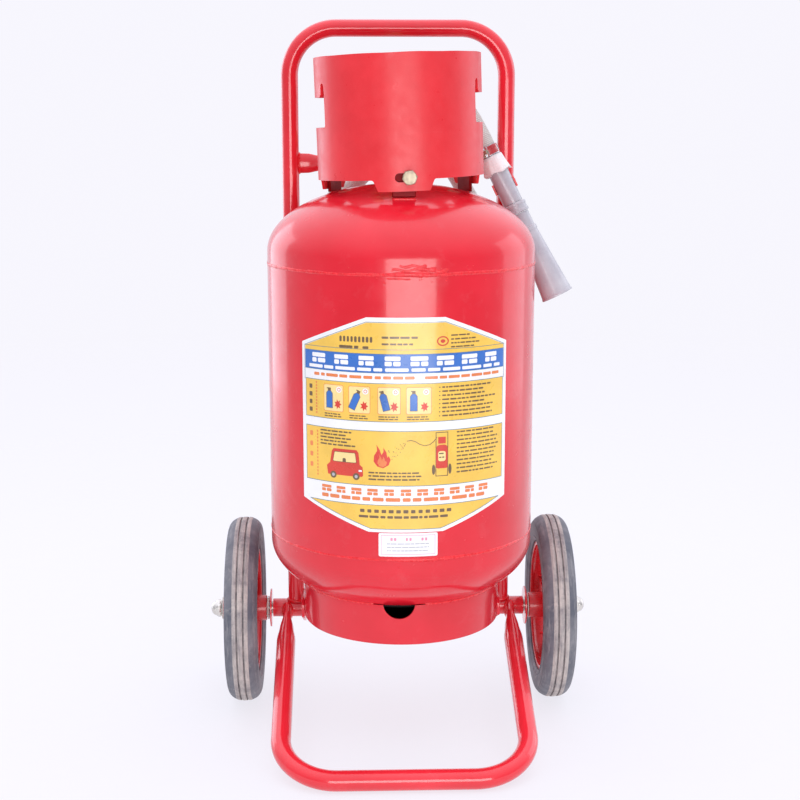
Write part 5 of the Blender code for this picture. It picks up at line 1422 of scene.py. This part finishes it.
class Sheet:
    """Flat outlines in (distance round, height), sorted by colour and layer."""

    def __init__(self, name):
        self.name = name
        self.sets = {}

    def add(self, colour, pts, layer=1):
        self.sets.setdefault((layer, colour), []).append(pts)

    def bar(self, colour, x, z, w, h, layer=2, r=None):
        r = min(w, h) * 0.25 if r is None else r
        self.add(colour, soft_corners([(x, z, r), (x + w, z, r), (x + w, z + h, r), (x, z + h, r)], True, 2), layer)

    def line(self, colour, a, b, t, layer=2):
        a, b = Vector(a), Vector(b)
        n = (b - a).normalized()
        n = Vector((-n.y, n.x)) * t / 2
        self.add(colour, [tuple(a + n), tuple(b + n), tuple(b - n), tuple(a - n)], layer)

    def frame(self, colour, pts, t, layer=2):
        for a, b in zip(pts, pts[1:] + pts[:1]):
            d = (Vector(b) - Vector(a)).normalized() * t / 2
            self.line(colour, Vector(a) - d, Vector(b) + d, t, layer)

    def disc(self, colour, x, z, r, layer=2, n=20, sx=1.0):
        self.add(colour, [(x + r * sx * math.cos(math.tau * k / n), z + r * math.sin(math.tau * k / n)) for k in range(n)], layer)

    def words(self, colour, x, z, w, h, rng, layer=2, gap=0.35, lo=1.5, hi=5.5):
        """A row of plain bars of uneven length, standing for a line of small print."""
        end = x + w
        while x < end - h * 1.2:
            ln = min(h * rng.uniform(lo, hi), end - x)
            self.bar(colour, x, z, ln, h, layer)
            x += ln + h * gap * rng.uniform(1.2, 2.2)

    def blocks(self, colour, x, z, w, h, count, rng, layer=2, rows=3):
        """Heading shapes: plain rounded blocks, standing for large print."""
        step = w / count
        for i in range(count):
            bw = step * rng.uniform(0.56, 0.70)
            x0 = x + i * step + (step - bw) / 2
            if rows > 2:
                self.bar(colour, x0, z + h * 0.56, bw, h * 0.44, layer, r=h * 0.10)
                cut = bw * rng.uniform(0.36, 0.60)
                self.bar(colour, x0, z, cut - bw * 0.05, h * 0.46, layer, r=h * 0.10)
                self.bar(colour, x0 + cut + bw * 0.05, z, bw - cut - bw * 0.05, h * 0.46, layer, r=h * 0.10)
            else:
                self.bar(colour, x0, z, bw, h, layer, r=h * 0.18)

    def build(self, mats, slot="label_film"):
        for (layer, colour), shapes in sorted(self.sets.items()):
            verts, faces = [], []
            for pts in shapes:
                bm = flat_fill([pts])
                xs = [v.co.x for v in bm.verts]
                if max(xs) - min(xs) > 0.005:
                    k = math.ceil(min(xs) / 0.004 + 0.05)
                    while k * 0.004 < max(xs) - 0.0002:
                        bmesh.ops.bisect_plane(bm, geom=bm.verts[:] + bm.edges[:] + bm.faces[:], dist=1e-6, plane_co=(k * 0.004, 0, 0), plane_no=(1, 0, 0))
                        k += 1
                bm.verts.index_update()
                base = len(verts)
                rad = LR + 0.00005 * layer
                for v in bm.verts:
                    a = v.co.x / R
                    verts.append((rad * math.sin(a), -rad * math.cos(a), v.co.y))
                flip = sum(f.normal.z for f in bm.faces) < 0
                for f in bm.faces:
                    g = [base + v.index for v in f.verts]
                    faces.append(tuple(g[::-1]) if flip else tuple(g))
                bm.free()
            o = mesh_object("%s_%d_%s" % (self.name, layer, colour), verts, faces, mats[colour], slot=slot, angle=80, fix=False)
            o.data.flip_normals() if sum((Vector(p.center).x * p.normal.x + Vector(p.center).y * p.normal.y) for p in o.data.polygons) < 0 else None


INK = {"white": L_WHITE, "yellow": L_YELLOW, "blue": L_BLUE, "line": L_LINE, "red": L_RED, "orange": L_ORANGE, "ink": L_DARK, "pale": L_PALE, "pink": L_PINK, "grey": L_GREY}

octo = [(-0.0445, 0.3089), (0.0445, 0.3089), (0.1346, 0.3410), (0.1346, 0.5290), (0.0461, 0.5628), (-0.0461, 0.5628), (-0.1346, 0.5290), (-0.1346, 0.3410)]
rolled("label_backing", [soft_corners([(*p, 0.0015) for p in octo], True, 4)], LR, 0.00030, L_WHITE, step=0.004, stands="instruction_label", slot="label_film", angle=60)

sh = Sheet("label")
rng = random.Random(99)
IN = 0.1291
top_panel = [(-IN, 0.5206), (IN, 0.5206), (IN, 0.5252), (0.0461, 0.5566), (-0.0461, 0.5566), (-IN, 0.5252)]
sh.add("yellow", top_panel)
sh.add("blue", [(-IN, 0.4984), (IN, 0.4984), (IN, 0.5206), (-IN, 0.5206)])
four = [(-IN + 0.0008, 0.4412), (IN - 0.0008, 0.4412), (IN - 0.0008, 0.4862), (-IN + 0.0008, 0.4862)]
sh.add("yellow", four)
six = [(-IN + 0.0008, 0.3650), (IN - 0.0008, 0.3650), (IN - 0.0008, 0.4302), (-IN + 0.0008, 0.4302)]
sh.add("yellow", six)
low = [(-0.1228, 0.3416), (-0.0414, 0.3128), (0.0414, 0.3128), (0.1228, 0.3416)]
sh.add("yellow", low)
rim_line = [(-0.1299, 0.3440), (-0.0418, 0.3122), (0.0418, 0.3122), (0.1299, 0.3440), (0.1299, 0.5257), (0.0463, 0.5573), (-0.0463, 0.5573), (-0.1299, 0.5257)]
sh.frame("line", rim_line[4:] , 0.0006)
for a, b in ((rim_line[3], (0.1299, 0.3650)), ):
    pass
sh.line("line", (-0.1299, 0.5257), (-0.1299, 0.4850), 0.0006)
sh.line("line", (0.1299, 0.5257), (0.1299, 0.4850), 0.0006)
sh.frame("line", four, 0.0007)
sh.frame("line", six, 0.0007)
sh.frame("line", low, 0.0007)
sh.line("line", (-IN, 0.4984), (IN, 0.4984), 0.0005)
sh.line("line", (-IN, 0.5206), (IN, 0.5206), 0.0005)

# top panel: a heading at the left, a round mark and short lines at the right
sh.blocks("ink", -0.0800, 0.5335, 0.042, 0.0068, 9, rng, rows=2)
sh.words("ink", -0.0795, 0.5262, 0.024, 0.0032, rng)
sh.words("ink", -0.0505, 0.5262, 0.012, 0.0030, rng)
sh.words("ink", -0.0280, 0.5385, 0.046, 0.0026, rng)
sh.words("ink", -0.0280, 0.5310, 0.036, 0.0022, rng)
sh.disc("red", 0.0430, 0.5350, 0.0058, 2, 24, 1.25)
sh.disc("yellow", 0.0430, 0.5350, 0.0043, 3, 24, 1.3)
sh.disc("red", 0.0430, 0.5350, 0.0022, 4, 18, 1.3)
for i, (w, z) in enumerate(((0.026, 0.5405), (0.034, 0.5360), (0.038, 0.5315), (0.030, 0.5270))):
    sh.words("ink", 0.0530, z, w, 0.0017, rng)
# blue band: large and small heading
sh.blocks("white", -0.1235, 0.5068, 0.247, 0.0112, 8, rng, rows=3)
sh.words("white", -0.1225, 0.5004, 0.245, 0.0038, rng, gap=0.45, lo=2.2, hi=7.5)
# white strip: one line of small red print
sh.words("orange", -0.1150, 0.4912, 0.125, 0.0036, rng, lo=1.2, hi=4.5)
sh.words("orange", 0.0220, 0.4912, 0.100, 0.0034, rng, lo=1.2, hi=4.5)

# upper yellow panel
for i in range(4):
    z = 0.4788 - i * 0.0092
    sh.blocks("ink", -0.1240, z - 0.0040, 0.0070, 0.0052, 1, rng, rows=2)
for i in range(11):
    sh.bar("orange", -0.1128, 0.4455 + i * 0.0036, 0.0020, 0.0023)


def tile(x, w, kind):
    z0, z1 = 0.4500, 0.4822
    pts = [(x, z0, 0.0022), (x + w, z0, 0.0022), (x + w, z1, 0.0022), (x, z1, 0.0022)]
    sh.add("orange", soft_corners(pts, True, 4), 2)
    t = 0.0006
    sh.add("pale", soft_corners([(x + t, z0 + t, 0.0018), (x + w - t, z0 + t, 0.0018), (x + w - t, z1 - t, 0.0018), (x + t, z1 - t, 0.0018)], True, 4), 3)
    cx = x + w * 0.30
    lean_ = {0: 0.0, 1: -0.42, 2: 0.25, 3: 0.0}[kind]
    c, s = math.cos(lean_), math.sin(lean_)

    def at(px, pz):
        return (cx + px * c - pz * s, 0.4650 + px * s + pz * c)

    # a bottle, its valve, and an arrow or a burst beside it
    bottle = [(-0.0040, -0.0105), (0.0040, -0.0105), (0.0040, 0.0062), (0.0018, 0.0092), (-0.0018, 0.0092), (-0.0040, 0.0062)]
    sh.add("ink", [at(px * 1.12, pz * 1.06) for px, pz in bottle], 4)
    sh.add("blue", [at(px, pz) for px, pz in bottle], 5)
    sh.add("ink", [at(px, pz) for px, pz in ((-0.0020, 0.0095), (0.0020, 0.0095), (0.0020, 0.0130), (-0.0034, 0.0130), (-0.0034, 0.0118), (-0.0020, 0.0118))], 5)
    bx_, bz_ = x + w * 0.72, 0.4590
    star = []
    for k in range(14):
        rr = 0.0050 if k % 2 == 0 else 0.0027
        star.append((bx_ + rr * math.cos(math.tau * k / 14), bz_ + 1.25 * rr * math.sin(math.tau * k / 14)))
    sh.add("red", star, 4)
    sh.disc("white", x + w * 0.78, 0.4764, 0.0036, 4, 16)
    sh.disc("orange", x + w * 0.78, 0.4764, 0.0022, 5, 12)
    sh.disc("white", x + w * 0.78, 0.4764, 0.0014, 6, 12)


for i, (x, w) in enumerate(((-0.1010, 0.0265), (-0.0680, 0.0265), (-0.0330, 0.0270), (0.0000, 0.0300))):
    tile(x, w, i)
    for j in range(2):
        sh.words("ink", x + 0.001, 0.4464 - 0.0028 * j, w - 0.004, 0.0014, rng)
for i in range(8):
    z = 0.4802 - i * 0.0048
    sh.disc("ink", 0.0395, z + 0.0009, 0.0008, 2, 10)
    sh.words("ink", 0.0425, z, rng.uniform(0.055, 0.080), 0.0019, rng, lo=1.2, hi=5)

# lower yellow panel: a vehicle, a fire, the jet, the trolley unit, and small print round them
for i in range(4):
    z = 0.4230 - i * 0.0125
    sh.blocks("orange", -0.1240, z - 0.0050, 0.0075, 0.0058, 1, rng, rows=2)
for i in range(14):
    sh.bar("orange", -0.1118, 0.3710 + i * 0.0040, 0.0018, 0.0026)
for i in range(5):
    sh.words("ink", -0.1065, 0.4256 - i * 0.0040, rng.uniform(0.030, 0.056), 0.0018, rng)
car = [(-0.0960, 0.3745), (-0.0520, 0.3745), (-0.0505, 0.3760), (-0.0510, 0.3860), (-0.0545, 0.3890), (-0.0560, 0.4030), (-0.0585, 0.4062), (-0.0880, 0.4062), (-0.0905, 0.4030), (-0.0930, 0.3890), (-0.0975, 0.3850)]
sh.add("red", car, 2)
sh.add("ink", soft_corners([(-0.0893, 0.3905, 0.001), (-0.0583, 0.3905, 0.001), (-0.0600, 0.4028, 0.001), (-0.0870, 0.4028, 0.001)], True, 2), 3)
sh.add("pale", soft_corners([(-0.0887, 0.3911, 0.001), (-0.0589, 0.3911, 0.001), (-0.0605, 0.4022, 0.001), (-0.0865, 0.4022, 0.001)], True, 2), 4)
sh.disc("ink", -0.0740, 0.3935, 0.0022, 5, 14)
sh.bar("ink", -0.0762, 0.3911, 0.0044, 0.0018, 5)
for x in (-0.0885, -0.0590):
    sh.disc("ink", x, 0.3745, 0.0042, 3, 20)
    sh.disc("grey", x, 0.3745, 0.0020, 4, 14)
sh.bar("white", -0.0560, 0.3805, 0.0040, 0.0022, 3)
flame = [(-0.0335, 0.3880), (-0.0265, 0.3862), (-0.0200, 0.3900), (-0.0178, 0.3965), (-0.0200, 0.4010), (-0.0215, 0.3990), (-0.0228, 0.4055), (-0.0262, 0.4105), (-0.0262, 0.4055), (-0.0285, 0.4020), (-0.0305, 0.4080), (-0.0345, 0.4140), (-0.0335, 0.4070), (-0.0372, 0.4010), (-0.0378, 0.3940)]
sh.add("red", flame, 2)
sh.add("orange", [(-0.0275 + (x + 0.0275) * 0.55, 0.3885 + (z - 0.3885) * 0.55) for x, z in flame], 3)
for k in range(26):
    t = rng.random()
    sp = (rng.random() - 0.5) * (0.004 + 0.011 * t)
    sh.disc("ink", -0.0010 - 0.0165 * t + sp * 0.4, 0.4165 - 0.0165 * t - sp, 0.0005, 3, 8)
hose_line = [(0.0010, 0.4188), (0.0060, 0.4196), (0.0110, 0.4180), (0.0160, 0.4148), (0.0220, 0.4128), (0.0280, 0.4140), (0.0330, 0.4180), (0.0365, 0.4225)]
for a, b in zip(hose_line, hose_line[1:]):
    sh.line("ink", a, b, 0.0008, 3)
ux = 0.0425
unit = [(ux - 0.0072, 0.4300 - 0.0022), (ux + 0.0072, 0.4300 - 0.0022), (ux + 0.0072, 0.3760), (ux - 0.0072, 0.3760)]
sh.frame("ink", unit, 0.0009, 3)
sh.add("red", soft_corners([(ux - 0.0070, 0.3850, 0.002), (ux + 0.0070, 0.3850, 0.002), (ux + 0.0070, 0.4130, 0.004), (ux - 0.0070, 0.4130, 0.004)], True, 3), 4)
sh.add("red", [(ux - 0.0046, 0.4145), (ux + 0.0046, 0.4145), (ux + 0.0046, 0.4225), (ux - 0.0046, 0.4225)], 4)
sh.bar("pale", ux - 0.0046, 0.3935, 0.0092, 0.0120, 5)
sh.words("ink", ux - 0.0036, 0.4020, 0.0072, 0.0014, rng, 6)
sh.words("ink", ux - 0.0036, 0.3975, 0.0072, 0.0014, rng, 6)
for x in (ux - 0.0100, ux + 0.0100):
    sh.add("ink", [(x + 0.0020 * math.cos(t), 0.3838 + 0.0062 * math.sin(t)) for t in [math.tau * k / 18 for k in range(18)]], 5)
for i in range(3):
    sh.words("ink", -0.0440, 0.3796 - i * 0.0040, 0.062, 0.0018, rng)
for i in range(11):
    sh.words("ink", 0.0610, 0.4262 - i * 0.0048, rng.uniform(0.050, 0.063), 0.0018, rng)

# white strip: two lines of orange print
sh.blocks("orange", -0.1080, 0.3532, 0.216, 0.0078, 11, rng, rows=3)
sh.words("orange", -0.1050, 0.3462, 0.205, 0.0044, rng, gap=0.3, lo=1.8, hi=4.6)
# bottom panel
sh.blocks("ink", -0.0560, 0.3322, 0.1120, 0.0040, 13, rng, rows=2)
sh.words("ink", -0.0560, 0.3258, 0.1120, 0.0030, rng, lo=1.2, hi=4.0)
sh.build(INK)

small = [(-0.0302, 0.2795, 0.0020), (0.0378, 0.2795, 0.0020), (0.0378, 0.3080, 0.0020), (-0.0322, 0.3080, 0.0020)]
small[0] = (-0.0322, 0.2795, 0.0020)
rolled("inspection_backing", [soft_corners(small, True, 4)], LR, 0.00030, L_WHITE, step=0.004, stands="inspection_label", slot="label_film", angle=60)
sh2 = Sheet("inspection")
fr_ = [(-0.0290, 0.2822), (0.0346, 0.2822), (0.0346, 0.3053), (-0.0290, 0.3053)]
sh2.frame("pink", fr_, 0.0005)
for x in (-0.0190, -0.0010, 0.0175):
    sh2.blocks("pink", x, 0.2988, 0.0085, 0.0036, 2, rng, rows=2)
for i, x in enumerate((-0.0225, -0.0225, -0.0225)):
    sh2.words("grey", x, 0.2945 - i * 0.0042, 0.050, 0.0011, rng, lo=2, hi=8)
sh2.build(INK)

# ------------------------------------------------------------------ floor and light
floor_me = bpy.data.meshes.new("floor")
bm = bmesh.new()
bmesh.ops.create_circle(bm, cap_ends=True, radius=9.0, segments=96)
bm.to_mesh(floor_me)
bm.free()
floor = bpy.data.objects.new("floor", floor_me)
bpy.context.scene.collection.objects.link(floor)
fl = Mat("floor", (0.86, 0.855, 0.90), 0.65, Specular_IOR_Level=0.2)
grain = fl.noise(40.0, 4.0, 0.6)
fl.colour(fl.mix(fl.range(grain, 0.3, 0.7, 0.0, 1.0), (0.855, 0.85, 0.895), (0.875, 0.87, 0.915)))
pos = fl.node("ShaderNodeTexCoord").outputs["Object"]
dist = fl.node("ShaderNodeVectorMath", {0: pos}, operation="LENGTH").outputs["Value"]
far = fl.range(dist, 1.0, 3.6, 0.0, 1.0)
tr = fl.node("ShaderNodeBsdfTransparent")
glow = fl.node("ShaderNodeEmission", {"Color": (0.925, 0.915, 0.985, 1), "Strength": 1.0})
lit = fl.node("ShaderNodeMixShader", {0: 0.80, 1: fl.b.outputs["BSDF"], 2: glow.outputs["Emission"]})
mx = fl.node("ShaderNodeMixShader", {0: far, 1: lit.outputs[0], 2: tr.outputs["BSDF"]})
out = next(n for n in fl.t.nodes if n.type == "OUTPUT_MATERIAL")
fl.t.links.new(mx.outputs[0], out.inputs["Surface"])
floor_me.materials.append(fl.m)

world = bpy.data.worlds.new("studio")
bpy.context.scene.world = world
world.use_nodes = True
wt = world.node_tree
bg = wt.nodes["Background"]
bg.inputs["Color"].default_value = (0.90, 0.90, 1.0, 1)
wtc = wt.nodes.new("ShaderNodeTexCoord")
wsep = wt.nodes.new("ShaderNodeSeparateXYZ")
wt.links.new(wtc.outputs["Generated"], wsep.inputs[0])
wmap = wt.nodes.new("ShaderNodeMapRange")
for k, v in (("From Min", -0.45), ("From Max", 0.85), ("To Min", 0.42), ("To Max", 1.05)):
    wmap.inputs[k].default_value = v
wt.links.new(wsep.outputs["Y"], wmap.inputs["Value"])
wup = wt.nodes.new("ShaderNodeMapRange")
for k, v in (("From Min", 0.10), ("From Max", 1.0), ("To Min", 0.0), ("To Max", 0.85)):
    wup.inputs[k].default_value = v
wt.links.new(wsep.outputs["Z"], wup.inputs["Value"])
wsum = wt.nodes.new("ShaderNodeMath")
wt.links.new(wmap.outputs["Result"], wsum.inputs[0])
wt.links.new(wup.outputs["Result"], wsum.inputs[1])
wt.links.new(wsum.outputs[0], bg.inputs["Strength"])
back = wt.nodes.new("ShaderNodeBackground")
back.inputs["Color"].default_value = (0.935, 0.925, 0.99, 1)
back.inputs["Strength"].default_value = 1.0
lp = wt.nodes.new("ShaderNodeLightPath")
mixw = wt.nodes.new("ShaderNodeMixShader")
wt.links.new(lp.outputs["Is Camera Ray"], mixw.inputs[0])
wt.links.new(bg.outputs[0], mixw.inputs[1])
wt.links.new(back.outputs[0], mixw.inputs[2])
wt.links.new(mixw.outputs[0], wt.nodes["World Output"].inputs["Surface"])


def soft_light(name, at, aim, size, radiance, colour=(1, 1, 1)):
    """A flat softbox of that brightness, looking at a point."""
    l = bpy.data.lights.new(name, "AREA")
    l.shape = "RECTANGLE"
    l.size, l.size_y = size
    l.energy = radiance * math.pi * size[0] * size[1]
    l.color = colour
    o = bpy.data.objects.new(name, l)
    bpy.context.scene.collection.objects.link(o)
    o.visible_camera = False
    o.location = at
    o.rotation_euler = (Vector(aim) - Vector(at)).to_track_quat("-Z", "Y").to_euler()
    return o


soft_light("front_box", (0.295, -2.45, 0.46), (0.295, 0.0, 0.46), (1.81, 0.90), 4.7)
soft_light("right_box", (2.3, 0.75, 0.75), (0.0, 0.0, 0.5), (1.5, 2.2), 1.15, (0.90, 0.91, 1.0)).visible_diffuse = False
soft_light("left_box", (-1.9, 1.6, 0.75), (0.0, 0.0, 0.5), (1.5, 2.2), 1.6, (0.88, 0.90, 1.0)).visible_diffuse = False
soft_light("top_box", (0.0, -0.6, 3.0), (0.0, 0.0, 0.5), (4.5, 4.0), 0.75).visible_glossy = False

view = bpy.context.scene.view_settings
view.view_transform = "Standard"
view.look = "None"
view.exposure = 0.0
view.gamma = 1.0
